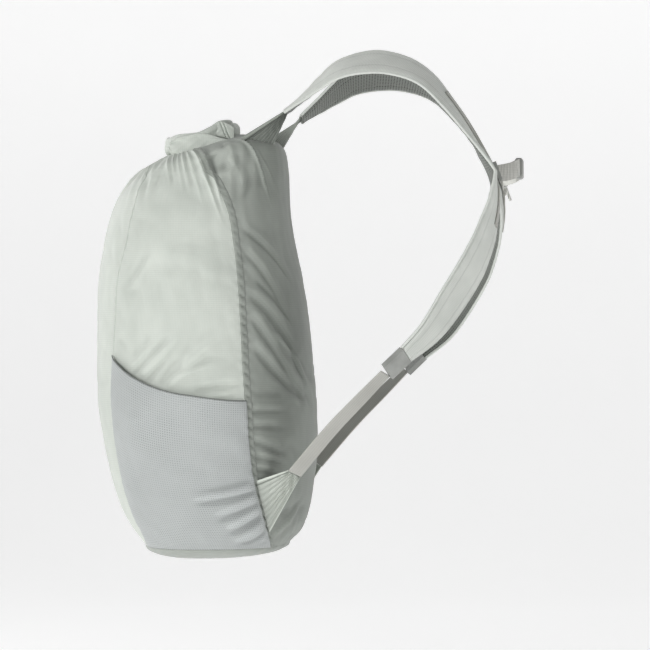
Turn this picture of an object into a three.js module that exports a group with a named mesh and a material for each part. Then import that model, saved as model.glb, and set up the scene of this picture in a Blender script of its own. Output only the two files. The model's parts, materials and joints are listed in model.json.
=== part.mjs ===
// Packable backpack with a rolled and clasped top, shown as it sits on the wearer's back.
// Millimetres. +X is the wearer's forward, +Z is up, the wearer's right side is -Y.
// The origin lies midway between the undersides of the two straps at the top of the shoulders.
import * as THREE from 'three';

// Bag body
const bagHeight = 368;
const bagWidth = 262;
const bagDepth = 197;
const axisBack = 160;
const baseDrop = 444;
const clothWall = 1.4;
const seamGap = 0.4;
const pieceGap = 0.35;
const layGap = 0.6;
const foldHeight = 4;
const foldWidth = 20;
const foldFade = 0.5;
const gatherHeight = 1.2;
const gatherLevel = 0.9;
const rimLevel = 0.985;
const baseReach = 0.417;
const baseSquare = 2.1;

// Seam tapes that cover the joints of the panels
const tapeWidth = 7;
const tapeWall = 1;
const tapeEnd = 0.7;

// Rolled collar, a flat roll bent to a horseshoe that is open to the front
const rollReach = 54;
const rollSpread = 56;
const rollRise = 15;
const rollBack = 135;
const rollDrop = 60.6;
const rollHeight = 20.5;
const rollThick = 13;
const rollRound = 0.8;
const mouthDip = 6;
const tuckDip = 5;
const tuckSag = 2.4;
const tuckReach = 0.7;
const tuckAngle = 35;
const tuckEnd = 0.02;
const tuckMiddle = 0.04;
const claspHeight = 9;
const claspThick = 5;

// Mesh side pockets
const pocketWall = 1.2;
const pocketBelly = 9;
const pocketHigh = 182;
const pocketLow = 143;
const pocketRound = 0.7;
const pocketSwell = 3;
const pocketClose = 0.3;
const bindingHeight = 4;
const bindingWall = 1.8;

// Padded shoulder straps
const strapWidth = 47;
const strapThick = 4.6;
const strapReach = 104;
const strapSpread = 86;
const strapDrop = 260;
const strapEdge = 1.6;
const strapCrown = 1.15;
const pipingSize = 2.6;
const pipingFlat = 0.5;

// Upper and lower gussets, which gather the strap ends
const gussetWall = 1.2;
const pleatHeight = 1.8;
const pleatFoot = 0.4;
const pleatFade = 0.55;
const wingWidth = 15;
const wingFrom = 125;
const wingTo = 156;
const wingHigh = 0.55;
const wingLow = 0.35;
const gussetHigh = 0.2;
const gussetLow = 0.075;

// Webbing and its fittings
const webbingWidth = 15;
const webbingWall = 1.6;
const lockLength = 22;
const lockWall = 5;
const lockRim = 3;
const railWidth = 9;
const railWall = 1.2;
const railInset = 9;
const sliderLength = 17;
const sliderWidth = 14;
const sliderWall = 3.2;
const tabLength = 13;
const tabWidth = 10;
const sternumForward = 125;
const sternumDrop = 95;
const bowAt = 0.55;
const bowDepth = 0.22;
const buckleLength = 36;
const buckleHeight = 18;
const buckleWall = 7;
const buckleBevel = 1.6;
const buckleMiddle = 2;

// Horizontal sections of the bag. level: share of the bag's height. front, back: shares of its
// depth before and behind the axis. half: share of its width. square: 2 is an ellipse.
// frontSeam, rearSeam: section angles in degrees, 0 at the outer face and 90 at the side.
const SECTIONS = [
  { level: 0.029, front: 0.243, back: 0.381, half: 0.36, square: 2.3, frontSeam: 38, rearSeam: 150 },
  { level: 0.067, front: 0.294, back: 0.442, half: 0.4, square: 2.3, frontSeam: 45, rearSeam: 138 },
  { level: 0.116, front: 0.35, back: 0.477, half: 0.435, square: 2.35, frontSeam: 45.5, rearSeam: 130 },
  { level: 0.189, front: 0.4, back: 0.503, half: 0.465, square: 2.4, frontSeam: 45.5, rearSeam: 123 },
  { level: 0.287, front: 0.441, back: 0.518, half: 0.49, square: 2.4, frontSeam: 45, rearSeam: 119 },
  { level: 0.385, front: 0.466, back: 0.513, half: 0.5, square: 2.4, frontSeam: 45.5, rearSeam: 118 },
  { level: 0.483, front: 0.471, back: 0.497, half: 0.5, square: 2.35, frontSeam: 46.5, rearSeam: 118 },
  { level: 0.583, front: 0.471, back: 0.477, half: 0.495, square: 2.3, frontSeam: 47.5, rearSeam: 118.6 },
  { level: 0.681, front: 0.466, back: 0.447, half: 0.48, square: 2.3, frontSeam: 48.5, rearSeam: 119 },
  { level: 0.755, front: 0.446, back: 0.416, half: 0.46, square: 2.3, frontSeam: 52, rearSeam: 118.5 },
  { level: 0.828, front: 0.416, back: 0.396, half: 0.43, square: 2.3, frontSeam: 53, rearSeam: 116 },
  { level: 0.877, front: 0.38, back: 0.391, half: 0.4, square: 2.3, frontSeam: 53, rearSeam: 111 },
  { level: 0.915, front: 0.334, back: 0.391, half: 0.375, square: 2.3, frontSeam: 51, rearSeam: 105 },
  { level: 0.939, front: 0.284, back: 0.391, half: 0.355, square: 2.3, frontSeam: 48, rearSeam: 100 },
  { level: 1, front: 0.284, back: 0.391, half: 0.355, square: 2.3, frontSeam: 26, rearSeam: 90 },
];
const seamLevel = 0.037;
const crownLevel = 0.939;

// Crown of the bag by direction. fullness: 1 is a straight slope to the roll, 4 is a wall with
// a flat top. wrap: how far the cloth climbs round the roll's outer side, in degrees.
const CROWN = [
  { angle: 0, fullness: 1.05, wrap: 0 },
  { angle: 45, fullness: 1.15, wrap: 0 },
  { angle: 80, fullness: 1.7, wrap: 5 },
  { angle: 105, fullness: 3, wrap: 12 },
  { angle: 125, fullness: 4, wrap: 30 },
  { angle: 150, fullness: 3.5, wrap: 62 },
  { angle: 180, fullness: 2.7, wrap: 74 },
];

// Folds and dents on each side, as straight runs over the surface from one angle and level to
// another. height: share of the fold height, negative for a dent. width: share of the fold width.
const FOLDS = [
  { fromAngle: 125, fromLevel: 0.953, toAngle: 147, toLevel: 0.863, height: 0.8, width: 0.35 },
  { fromAngle: 98, fromLevel: 0.968, toAngle: 116, toLevel: 0.93, height: -0.9, width: 0.7 },
  { fromAngle: 84, fromLevel: 0.965, toAngle: 106, toLevel: 0.85, height: 0.6, width: 0.45 },
  { fromAngle: 92, fromLevel: 0.965, toAngle: 112, toLevel: 0.86, height: 0.5, width: 0.4 },
  { fromAngle: 62, fromLevel: 0.96, toAngle: 66, toLevel: 0.84, height: 0.5, width: 0.5 },
  { fromAngle: 58, fromLevel: 0.44, toAngle: 78, toLevel: 0.6, height: -0.5, width: 0.7 },
  { fromAngle: 76, fromLevel: 0.42, toAngle: 96, toLevel: 0.56, height: 0.5, width: 0.7 },
  { fromAngle: 124, fromLevel: 0.66, toAngle: 150, toLevel: 0.5, height: 0.6, width: 0.6 },
  { fromAngle: 128, fromLevel: 0.5, toAngle: 150, toLevel: 0.33, height: 0.7, width: 0.6 },
  { fromAngle: 122, fromLevel: 0.27, toAngle: 142, toLevel: 0.25, height: 0.5, width: 0.5 },
];

// Roll's centre line from its front end to the middle of its rear bend. reach, spread, rise:
// shares of the roll's three extents. height, thick: shares of its section.
const ROLL = [
  { reach: 0, spread: 0.24, rise: 0, height: 0.73, thick: 0.8 },
  { reach: 0.13, spread: 0.62, rise: 0.15, height: 0.86, thick: 0.96 },
  { reach: 0.36, spread: 0.94, rise: 0.3, height: 0.94, thick: 1 },
  { reach: 0.65, spread: 1, rise: 0.47, height: 0.78, thick: 1 },
  { reach: 0.88, spread: 0.84, rise: 0.88, height: 0.88, thick: 0.94 },
  { reach: 0.99, spread: 0.48, rise: 1, height: 0.9, thick: 0.92 },
  { reach: 1, spread: 0, rise: 1, height: 0.88, thick: 0.92 },
];

// Centre line of a shoulder strap from the upper gusset to the ladder lock. forward, out, down:
// shares of the strap's reach, spread and drop. lean: outward tilt of its face in degrees.
const STRAP = [
  { forward: -0.74, out: 0.72, down: 0.175, lean: 4 },
  { forward: -0.596, out: 0.767, down: 0.129, lean: 11 },
  { forward: -0.462, out: 0.837, down: 0.085, lean: 18 },
  { forward: -0.298, out: 0.907, down: 0.042, lean: 24 },
  { forward: -0.01, out: 0.977, down: 0.019, lean: 27 },
  { forward: 0.259, out: 1, down: 0.038, lean: 23 },
  { forward: 0.452, out: 1, down: 0.081, lean: 17 },
  { forward: 0.627, out: 0.977, down: 0.16, lean: 11 },
  { forward: 0.782, out: 0.93, down: 0.248, lean: 4 },
  { forward: 0.91, out: 0.884, down: 0.332, lean: -4 },
  { forward: 1, out: 0.87, down: 0.4, lean: -8 },
  { forward: 1.012, out: 0.93, down: 0.485, lean: 5 },
  { forward: 0.965, out: 1.023, down: 0.581, lean: 17 },
  { forward: 0.86, out: 1.163, down: 0.692, lean: 25 },
  { forward: 0.675, out: 1.302, down: 0.819, lean: 29 },
  { forward: 0.49, out: 1.419, down: 0.927, lean: 31 },
  { forward: 0.3, out: 1.477, down: 1, lean: 34 },
];

// Lower webbing after the ladder lock, down to the lower gusset, in the strap's shares.
const WEBBING = [
  { forward: -0.077, out: 1.488, down: 1.15, lean: 42 },
  { forward: -0.31, out: 1.419, down: 1.246, lean: 46 },
  { forward: -0.64, out: 1.27, down: 1.4, lean: 50 },
];

// Width of a shoulder strap along its length, as a share of its full width: it narrows to the
// gusset and to the webbing.
const STRAP_ENDS = [
  { share: 0, width: 0.62 },
  { share: 0.12, width: 0.9 },
  { share: 0.25, width: 1 },
  { share: 0.78, width: 1 },
  { share: 0.9, width: 0.8 },
  { share: 1, width: 0.42 },
];

// Grid counts
const bodyRows = 13;
const crownRows = 6;
const sideColumns = 10;
const frontColumns = 12;
const backColumns = 14;
const baseRings = 4;
const baseColumns = 30;
const rollSteps = 30;
const rollSides = 10;
const tuckSteps = 20;
const tuckColumns = 6;
const pocketRows = 7;
const strapSteps = 24;
const railFirst = 9;
const railLast = 16;
const sliderFacet = 13;
const pipingSides = 5;
const webbingSteps = 8;
const pleats = 5;
const pleatRows = 4;

const degree = Math.PI / 180;
const RIGHT = -1;
const LEFT = 1;
const up = new THREE.Vector3(0, 0, 1);

const cloth = { color: 0xcfd4ce, roughness: 0.62, metalness: 0 };
const shadedCloth = { color: 0xb4b9b3, roughness: 0.66, metalness: 0 };
const mesh = { color: 0xbfc3c2, roughness: 0.8, metalness: 0 };
const trim = { color: 0x9fa49f, roughness: 0.75, metalness: 0 };
const padding = { color: 0xb8bcb6, roughness: 0.85, metalness: 0 };
const webbing = { color: 0xb8b9b3, roughness: 0.8, metalness: 0 };
const plastic = { color: 0x8f918d, roughness: 0.45, metalness: 0 };

function point(x, y, z) {
  return new THREE.Vector3(x, y, z);
}

function mix(a, b, share) {
  return a.clone().lerp(b, share);
}

function mixed(a, b, share) {
  return a + (b - a) * share;
}

// Value of a table's column at a place along its key column, on a smooth curve through the rows.
function along(table, key, place, column) {
  const last = table.length - 1;
  if (place <= table[0][key]) return table[0][column];
  if (place >= table[last][key]) return table[last][column];
  let i = 0;
  while (table[i + 1][key] < place) i += 1;
  const slope = (a, b) => (table[b][column] - table[a][column]) / (table[b][key] - table[a][key]);
  const span = table[i + 1][key] - table[i][key];
  const s = (place - table[i][key]) / span;
  const m0 = slope(Math.max(i - 1, 0), i + 1) * span;
  const m1 = slope(i, Math.min(i + 2, last)) * span;
  const s2 = s * s;
  const s3 = s2 * s;
  return (2 * s3 - 3 * s2 + 1) * table[i][column] + (s3 - 2 * s2 + s) * m0
    + (3 * s2 - 2 * s3) * table[i + 1][column] + (s3 - s2) * m1;
}

// Closed body from triangles over a list of points, turned so that its faces point out.
function body(name, points, triangles, finish) {
  let volume = 0;
  for (const [a, b, c] of triangles) {
    volume += points[a].dot(points[b].clone().cross(points[c]));
  }
  const index = triangles.flatMap(([a, b, c]) => (volume > 0 ? [a, b, c] : [a, c, b]));
  const geometry = new THREE.BufferGeometry().setFromPoints(points);
  geometry.setIndex(index);
  geometry.computeVertexNormals();
  const solid = new THREE.Mesh(geometry, new THREE.MeshStandardMaterial(finish));
  solid.name = name;
  solid.userData.finish = finish;
  return solid;
}

// Two triangles of a four-cornered facet.
function facet(a, b, c, d) {
  return [[a, b, c], [a, c, d]];
}

// Thin wall between two grids of points with the same rows and columns.
function wall(name, outer, inner, finish) {
  const rows = outer.length;
  const columns = outer[0].length;
  const points = [...outer.flat(), ...inner.flat()];
  const half = rows * columns;
  const at = (side, i, j) => side * half + i * columns + j;
  const triangles = [];
  for (let i = 0; i < rows - 1; i += 1) {
    for (let j = 0; j < columns - 1; j += 1) {
      const turned = j >= (columns - 1) / 2;
      const out = [at(0, i, j), at(0, i, j + 1), at(0, i + 1, j + 1), at(0, i + 1, j)];
      const back = [at(1, i, j), at(1, i + 1, j), at(1, i + 1, j + 1), at(1, i, j + 1)];
      triangles.push(...(turned ? facet(...out.slice(1), out[0]) : facet(...out)));
      triangles.push(...(turned ? facet(...back.slice(1), back[0]) : facet(...back)));
    }
  }
  for (let j = 0; j < columns - 1; j += 1) {
    const top = rows - 1;
    triangles.push(...facet(at(0, 0, j), at(1, 0, j), at(1, 0, j + 1), at(0, 0, j + 1)));
    triangles.push(...facet(at(0, top, j), at(0, top, j + 1), at(1, top, j + 1), at(1, top, j)));
  }
  for (let i = 0; i < rows - 1; i += 1) {
    const edge = columns - 1;
    triangles.push(...facet(at(0, i, 0), at(0, i + 1, 0), at(1, i + 1, 0), at(1, i, 0)));
    triangles.push(...facet(at(0, i, edge), at(1, i, edge), at(1, i + 1, edge), at(0, i + 1, edge)));
  }
  return body(name, points, triangles, finish);
}

// Solid through a row of convex sections with the same number of corners.
function sweep(name, sections, finish) {
  const sides = sections[0].length;
  const points = sections.flat();
  const at = (i, j) => i * sides + (j % sides);
  const triangles = [];
  for (let i = 0; i < sections.length - 1; i += 1) {
    for (let j = 0; j < sides; j += 1) {
      triangles.push(...facet(at(i, j), at(i, j + 1), at(i + 1, j + 1), at(i + 1, j)));
    }
  }
  const last = sections.length - 1;
  for (let j = 1; j < sides - 1; j += 1) {
    triangles.push([at(0, 0), at(0, j + 1), at(0, j)]);
    triangles.push([at(last, 0), at(last, j), at(last, j + 1)]);
  }
  return body(name, points, triangles, finish);
}

// Section angle brought to less than one turn.
function oneTurn(angle) {
  return ((angle % 360) + 360) % 360;
}

// Section angle's distance from the outer face, from 0 to 180.
function fromFront(angle) {
  const turn = oneTurn(angle);
  return Math.min(turn, 360 - turn);
}

// Signed power, for the sections' rounded squares.
function power(value, exponent) {
  return Math.sign(value) * Math.abs(value) ** exponent;
}

// Centre line of the roll from its right end round the back to its left end.
const rollRows = [...ROLL, ...ROLL.slice(0, -1).reverse()];
const rollLine = new THREE.CatmullRomCurve3(rollRows.map((row, i) => point(
  -rollBack - rollReach * (1 - row.reach),
  (i < ROLL.length ? RIGHT : LEFT) * rollSpread * row.spread,
  -rollDrop - rollRise * (1 - row.rise),
)));

// Place on the roll at a share of its length: centre, outward direction and half sizes.
function rollPlace(share) {
  const centre = rollLine.getPointAt(share);
  const tangent = rollLine.getTangentAt(share);
  const outward = point(-tangent.y, tangent.x, 0).normalize().negate();
  const station = rollLine.getUtoTmapping(share) * (rollRows.length - 1);
  const i = Math.min(Math.floor(station), rollRows.length - 2);
  const part = station - i;
  const size = (column) => rollRows[i][column] * (1 - part) + rollRows[i + 1][column] * part;
  return { centre, outward, high: size('height') * rollHeight / 2, wide: size('thick') * rollThick / 2 };
}

// Point beside the roll's section, at an angle from straight down towards its outer side.
function besideRoll(share, angle, gap) {
  const place = rollPlace(share);
  return place.centre.clone()
    .addScaledVector(place.outward, Math.sin(angle * degree) * (place.wide + gap))
    .addScaledVector(up, -Math.cos(angle * degree) * (place.high + gap));
}

const rollStart = SECTIONS[SECTIONS.length - 1].frontSeam;

// Edge of the bag's mouth under the roll; between the roll's ends it dips under the clasp.
function mouth(angle) {
  const turn = oneTurn(angle);
  const wrap = along(CROWN, 'angle', fromFront(angle), 'wrap');
  const gap = pieceGap + clothWall * Math.sin(wrap * degree);
  if (fromFront(angle) < rollStart) {
    const end = besideRoll(0, 0, gap);
    const share = fromFront(angle) / rollStart;
    const side = turn <= 180 ? RIGHT : LEFT;
    return point(end.x, side * Math.abs(end.y) * share, end.z - mouthDip * (1 - share * share));
  }
  const share = (turn - rollStart) / (360 - 2 * rollStart);
  return besideRoll(share, wrap, gap);
}

// Smooth form of the bag without its folds, at an angle and a level.
function form(angle, level) {
  const low = Math.min(level, crownLevel);
  const read = (column) => along(SECTIONS, 'level', low, column);
  const rounding = 2 / read('square');
  const c = Math.cos(angle * degree);
  const s = Math.sin(angle * degree);
  const reach = (c > 0 ? read('front') : read('back')) * bagDepth;
  const ring = point(
    -axisBack - reach * power(c, rounding),
    -read('half') * bagWidth * power(s, rounding),
    -baseDrop + low * bagHeight,
  );
  if (level <= crownLevel) return ring;
  const fullness = along(CROWN, 'angle', fromFront(angle), 'fullness');
  const climb = (level - crownLevel) / (1 - crownLevel) * Math.PI / 2;
  const rim = mouth(angle);
  const inward = 1 - Math.cos(climb) ** (2 / fullness);
  const rise = Math.sin(climb) ** (2 / fullness);
  return point(
    ring.x + (rim.x - ring.x) * inward,
    ring.y + (rim.y - ring.y) * inward,
    ring.z + (rim.z - ring.z) * rise,
  );
}

// Outward direction of the smooth form.
function facing(angle, level) {
  const step = 3;
  const rise = 0.004;
  const high = Math.min(level + rise, 0.999);
  const round = form(angle + step, level).sub(form(angle - step, level));
  const climb = form(angle, high).sub(form(angle, high - 2 * rise));
  const out = climb.cross(round).normalize();
  const from = form(angle, level).sub(point(-axisBack, 0, -baseDrop + bagHeight / 2));
  return out.dot(from) < 0 ? out.negate() : out;
}

// Height of the folds over the smooth form.
function foldRise(angle, level) {
  const perDegree = bagWidth * Math.PI / 360;
  let rise = 0;
  for (const fold of FOLDS) {
    const start = point(fold.fromAngle * perDegree, fold.fromLevel * bagHeight, 0);
    const run = point(fold.toAngle * perDegree, fold.toLevel * bagHeight, 0).sub(start);
    const here = point(fromFront(angle) * perDegree, level * bagHeight, 0).sub(start);
    const share = THREE.MathUtils.clamp(here.dot(run) / run.lengthSq(), 0, 1);
    const away = here.sub(run.multiplyScalar(share)).length() / (fold.width * foldWidth);
    rise += fold.height * foldHeight * Math.exp(-away * away) * (1 - foldFade * share);
  }
  const rim = THREE.MathUtils.clamp((level - rimLevel) / (1 - rimLevel), 0, 1);
  return rise * (1 - rim);
}

// Point on the bag with its folds, raised from the cloth's outer face by a given height.
function onBag(angle, level, raised = 0, gather = 0) {
  const lift = foldRise(angle, level) + gather + raised;
  return form(angle, level).addScaledVector(facing(angle, level), lift);
}

function sectionSeam(column, level) {
  return along(SECTIONS, 'level', level, column);
}

// Degrees of section angle that cover a length along the cloth.
function arc(length, angle, level) {
  const shortest = 0.2;
  const step = form(angle + 0.5, level).distanceTo(form(angle - 0.5, level));
  return length / Math.max(step, shortest);
}

// Levels of the grid's rows from the base seam to the mouth.
function levels() {
  const list = [];
  for (let i = 0; i < bodyRows; i += 1) {
    list.push(mixed(seamLevel, crownLevel, i / bodyRows));
  }
  for (let i = 0; i <= crownRows; i += 1) {
    list.push(mixed(crownLevel, 1, i / crownRows));
  }
  list[0] += seamGap / 2 / bagHeight;
  return list;
}

// One cloth panel between two seams. Its second and last columns but one lie beside the tapes.
function panel(name, from, to, columns, finish) {
  const outer = [];
  const inner = [];
  for (const level of levels()) {
    const start = from(level);
    const end = to(level);
    const first = start + arc(seamGap / 2, start, level);
    const last = end - arc(seamGap / 2, end, level);
    const lead = arc(tapeWidth / 2 + 1, start, level);
    const tail = arc(tapeWidth / 2 + 1, end, level);
    const out = [];
    const back = [];
    for (let j = 0; j <= columns; j += 1) {
      let angle = start + lead + (end - tail - start - lead) * (j - 1) / (columns - 2);
      if (j === 0) angle = first;
      if (j === columns) angle = last;
      const crown = Math.max(0, (level - gatherLevel) / (1 - gatherLevel));
      const fade = crown * (1 - crown) * 4;
      const edge = j < 2 || j > columns - 2;
      const drawn = edge ? 0 : Math.abs(Math.sin((start + end) / 2 * degree));
      const gather = gatherHeight * fade * drawn * (j % 2 ? 1 : -1);
      out.push(onBag(angle, level, 0, gather));
      back.push(onBag(angle, level, -clothWall, gather));
    }
    outer.push(out);
    inner.push(back);
  }
  return wall(name, outer, inner, finish);
}

// Flat-felled seam tape along the joint of two panels.
function seamTape(name, seam) {
  const sections = [];
  const rows = levels().filter((level) => level < crownLevel + tapeEnd * (1 - crownLevel));
  for (const level of rows) {
    const angle = seam(level);
    const reach = arc(tapeWidth / 2, angle, level);
    sections.push([
      onBag(angle - reach, level, layGap),
      onBag(angle + reach, level, layGap),
      onBag(angle + reach, level, layGap + tapeWall),
      onBag(angle - reach, level, layGap + tapeWall),
    ]);
  }
  return sweep(name, sections, trim);
}

// Base of the bag, closed to the lowest point inside the base seam.
function basePanel() {
  const rings = baseRings;
  const columns = baseColumns;
  const points = [];
  const layer = (depth) => {
    const start = points.length;
    for (let i = 0; i < rings; i += 1) {
      const climb = i / rings * Math.PI / 2;
      const inward = Math.cos(climb) ** (2 / baseSquare);
      const sink = Math.sin(climb) ** (2 / baseSquare);
      for (let j = 0; j < columns; j += 1) {
        const edge = form(360 * j / columns, seamLevel);
        const low = edge.z - seamGap / 2 + (-baseDrop - edge.z) * sink;
        const share = inward - depth / (bagDepth * baseReach) * (i + 1) / rings;
        points.push(point(
          -axisBack + (edge.x + axisBack) * share,
          edge.y * share,
          low + depth * (i ? 1 : 0),
        ));
      }
    }
    points.push(point(-axisBack, 0, -baseDrop + depth));
    return start;
  };
  const outer = layer(0);
  const inner = layer(clothWall);
  const low = (i, j) => outer + i * columns + (j % columns);
  const high = (i, j) => inner + i * columns + (j % columns);
  const last = rings - 1;
  const triangles = [];
  for (let j = 0; j < columns; j += 1) {
    for (let i = 0; i < last; i += 1) {
      triangles.push(...facet(low(i, j), low(i + 1, j), low(i + 1, j + 1), low(i, j + 1)));
      triangles.push(...facet(high(i, j), high(i, j + 1), high(i + 1, j + 1), high(i + 1, j)));
    }
    triangles.push([low(last, j), low(rings, 0), low(last, j + 1)]);
    triangles.push([high(last, j), high(last, j + 1), high(rings, 0)]);
    triangles.push(...facet(low(0, j), low(0, j + 1), high(0, j + 1), high(0, j)));
  }
  return body('base_panel', points, triangles, shadedCloth);
}

// Roll of the collar: a flattened oval swept round the horseshoe.
function rolledCollar() {
  const sections = [];
  for (let i = 0; i <= rollSteps; i += 1) {
    const place = rollPlace(i / rollSteps);
    const section = [];
    for (let j = 0; j < rollSides; j += 1) {
      const turn = (j + 0.5) / rollSides * 2 * Math.PI;
      section.push(place.centre.clone()
        .addScaledVector(place.outward, power(Math.sin(turn), rollRound) * place.wide)
        .addScaledVector(up, power(Math.cos(turn), rollRound) * place.high));
    }
    sections.push(section);
  }
  return sweep('rolled_collar', sections, cloth);
}

// Front of the collar, drawn in under the roll as a dished sheet that is open to the front.
function collarTuck() {
  const outer = [];
  const inner = [];
  for (let i = 0; i <= tuckSteps; i += 1) {
    const share = tuckEnd + (1 - 2 * tuckEnd) * i / tuckSteps;
    const rim = besideRoll(share, -tuckAngle, pieceGap + clothWall / 2);
    const run = Math.sin(Math.PI * share);
    const spine = point(
      -rollBack - rollReach * (1 - tuckReach * run) - 1,
      rim.y * tuckMiddle,
      besideRoll(0, 0, 0).z - mouthDip - tuckDip * run,
    );
    const low = [];
    const high = [];
    for (let j = 0; j <= tuckColumns; j += 1) {
      const across = j / tuckColumns;
      const centre = mix(rim, spine, across);
      centre.z -= Math.sin(Math.PI * across) * tuckSag;
      low.push(centre.clone().addScaledVector(up, -clothWall / 2));
      high.push(centre.clone().addScaledVector(up, clothWall / 2));
    }
    outer.push(high);
    inner.push(low);
  }
  return wall('collar_tuck', outer, inner, cloth);
}

// Plain clasp that joins the two ends of the roll.
function collarClasp() {
  const end = rollPlace(0);
  const length = 2 * Math.abs(end.centre.y) - 5 * pieceGap;
  const shape = new THREE.BoxGeometry(claspThick, length, claspHeight);
  shape.translate(end.centre.x, 0, end.centre.z);
  const clasp = new THREE.Mesh(shape, new THREE.MeshStandardMaterial(plastic));
  clasp.name = 'collar_clasp';
  return clasp;
}

// Level of the pocket's top edge at a share of the way from the front to the rear seam.
function pocketTop(share) {
  return (pocketLow + (pocketHigh - pocketLow) * (1 - share) ** 2) / bagHeight;
}

// Distance of the pocket from the bag: snug at the seams and the base, loose in the middle.
function pocketLift(share, climb) {
  const across = Math.sin(Math.PI * share) ** pocketRound;
  const upward = Math.min(1, climb * pocketSwell) * (1 - pocketClose * climb);
  return layGap + pocketBelly * across * upward;
}

function pocketAngle(share, level) {
  const inset = tapeWidth / 2 + 2 * pieceGap;
  const start = sectionSeam('frontSeam', level);
  const end = sectionSeam('rearSeam', level);
  const first = start + arc(inset, start, level);
  const last = end - arc(inset, end, level);
  return first + (last - first) * share;
}

function sidePocket(name) {
  const outer = [];
  const inner = [];
  for (let i = 0; i <= pocketRows; i += 1) {
    const climb = i / pocketRows;
    const out = [];
    const back = [];
    for (let j = 0; j <= sideColumns; j += 1) {
      const share = j / sideColumns;
      const low = seamLevel + seamGap / bagHeight;
      const level = mixed(low, pocketTop(share), climb);
      const angle = pocketAngle(share, level);
      const lift = pocketLift(share, climb);
      out.push(onBag(angle, level, lift + pocketWall));
      back.push(onBag(angle, level, lift));
    }
    outer.push(out);
    inner.push(back);
  }
  return wall(name, outer, inner, mesh);
}

// Elastic binding on the pocket's top edge.
function pocketBinding(name) {
  const sections = [];
  for (let j = 0; j <= sideColumns; j += 1) {
    const share = j / sideColumns;
    const low = pocketTop(share) + pieceGap / bagHeight;
    const high = low + bindingHeight / bagHeight;
    const lift = pocketLift(share, 1) - (bindingWall - pocketWall) / 2 + pieceGap;
    sections.push([
      onBag(pocketAngle(share, low), low, lift),
      onBag(pocketAngle(share, high), high, lift),
      onBag(pocketAngle(share, high), high, lift + bindingWall),
      onBag(pocketAngle(share, low), low, lift + bindingWall),
    ]);
  }
  return sweep(name, sections, trim);
}

// Points of a strap table's rows on the wearer's right side.
function strapPoints(table) {
  return table.map((row) => point(
    row.forward * strapReach,
    -row.out * strapSpread,
    -row.down * strapDrop,
  ));
}

// Place on a strap: centre, width direction (towards the outside), face and length directions.
function strapPlace(path, share) {
  const { line, rows } = path;
  const centre = line.getPointAt(share);
  const tangent = line.getTangentAt(share);
  const station = line.getUtoTmapping(share) * (rows.length - 1);
  const i = Math.min(Math.floor(station), rows.length - 2);
  const part = station - i;
  const lean = (rows[i].lean * (1 - part) + rows[i + 1].lean * part) * degree;
  const face = tangent.clone().cross(point(0, 1, 0)).normalize();
  face.multiplyScalar(Math.cos(lean)).addScaledVector(point(0, RIGHT, 0), Math.sin(lean));
  face.addScaledVector(tangent, -face.dot(tangent)).normalize();
  const across = tangent.clone().cross(face).normalize();
  if (across.y > 0) across.negate();
  return { centre, across, face, tangent };
}

// The same place moved along the strap.
function moved(place, distance) {
  return { ...place, centre: place.centre.clone().addScaledVector(place.tangent, distance) };
}

// Place in the middle of one flat length of the shoulder strap, between two of its sections.
function facetPlace(section) {
  const start = strapPlace(strapPath, section / strapSteps);
  const end = strapPlace(strapPath, (section + 1) / strapSteps);
  const tangent = end.centre.clone().sub(start.centre).normalize();
  const face = start.face.clone().add(end.face);
  face.addScaledVector(tangent, -face.dot(tangent)).normalize();
  const across = tangent.clone().cross(face).normalize();
  if (across.y > 0) across.negate();
  return { centre: mix(start.centre, end.centre, 0.5), across, face, tangent };
}

const strapPath = { rows: STRAP, line: new THREE.CatmullRomCurve3(strapPoints(STRAP)) };
const strapEnd = strapPlace(strapPath, 1);
const webbingStart = moved(strapEnd, lockLength + 2 * pieceGap + webbingWall).centre;
const webbingPath = {
  rows: [STRAP[STRAP.length - 1], ...WEBBING],
  line: new THREE.CatmullRomCurve3([webbingStart, ...strapPoints(WEBBING)]),
};

// Point of a strap's section, given across its width and out of its face.
function onStrap(place, across, out) {
  return place.centre.clone().addScaledVector(place.across, across).addScaledVector(place.face, out);
}

// Half the shoulder strap's width at a share of its length.
function strapHalf(share) {
  return strapWidth / 2 * along(STRAP_ENDS, 'share', share, 'width');
}

function shoulderStrap(name) {
  const sections = [];
  const thick = strapThick / 2;
  for (let i = 0; i <= strapSteps; i += 1) {
    const share = i / strapSteps;
    const place = strapPlace(strapPath, share);
    const h = strapHalf(share);
    sections.push([
      onStrap(place, -h, 0),
      onStrap(place, -h + strapEdge, thick),
      onStrap(place, 0, thick * strapCrown),
      onStrap(place, h - strapEdge, thick),
      onStrap(place, h, 0),
      onStrap(place, h - strapEdge, -thick),
      onStrap(place, -h + strapEdge, -thick),
    ]);
  }
  return sweep(name, sections, padding);
}

// Piping along one edge of a shoulder strap.
function strapPiping(name, edge) {
  const sections = [];
  for (let i = 0; i <= strapSteps; i += 1) {
    const share = i / strapSteps;
    const place = strapPlace(strapPath, share);
    const core = edge * (strapHalf(share) + pieceGap + pipingSize / 2);
    const section = [];
    for (let j = 0; j < pipingSides; j += 1) {
      const turn = j / pipingSides * 2 * Math.PI;
      const inward = Math.cos(turn) * pipingSize / 2 * (j ? 1 : pipingFlat);
      section.push(onStrap(place, core - edge * inward, Math.sin(turn) * pipingSize / 2));
    }
    sections.push(section);
  }
  return sweep(name, sections, trim);
}

// Flat band along part of a strap table.
function band(name, path, from, to, steps, width, low, thick, offset, finish) {
  const sections = [];
  for (let i = 0; i <= steps; i += 1) {
    const place = strapPlace(path, from + (to - from) * i / steps);
    sections.push([
      onStrap(place, offset - width / 2, low),
      onStrap(place, offset + width / 2, low),
      onStrap(place, offset + width / 2, low + thick),
      onStrap(place, offset - width / 2, low + thick),
    ]);
  }
  return sweep(name, sections, finish);
}

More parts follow.
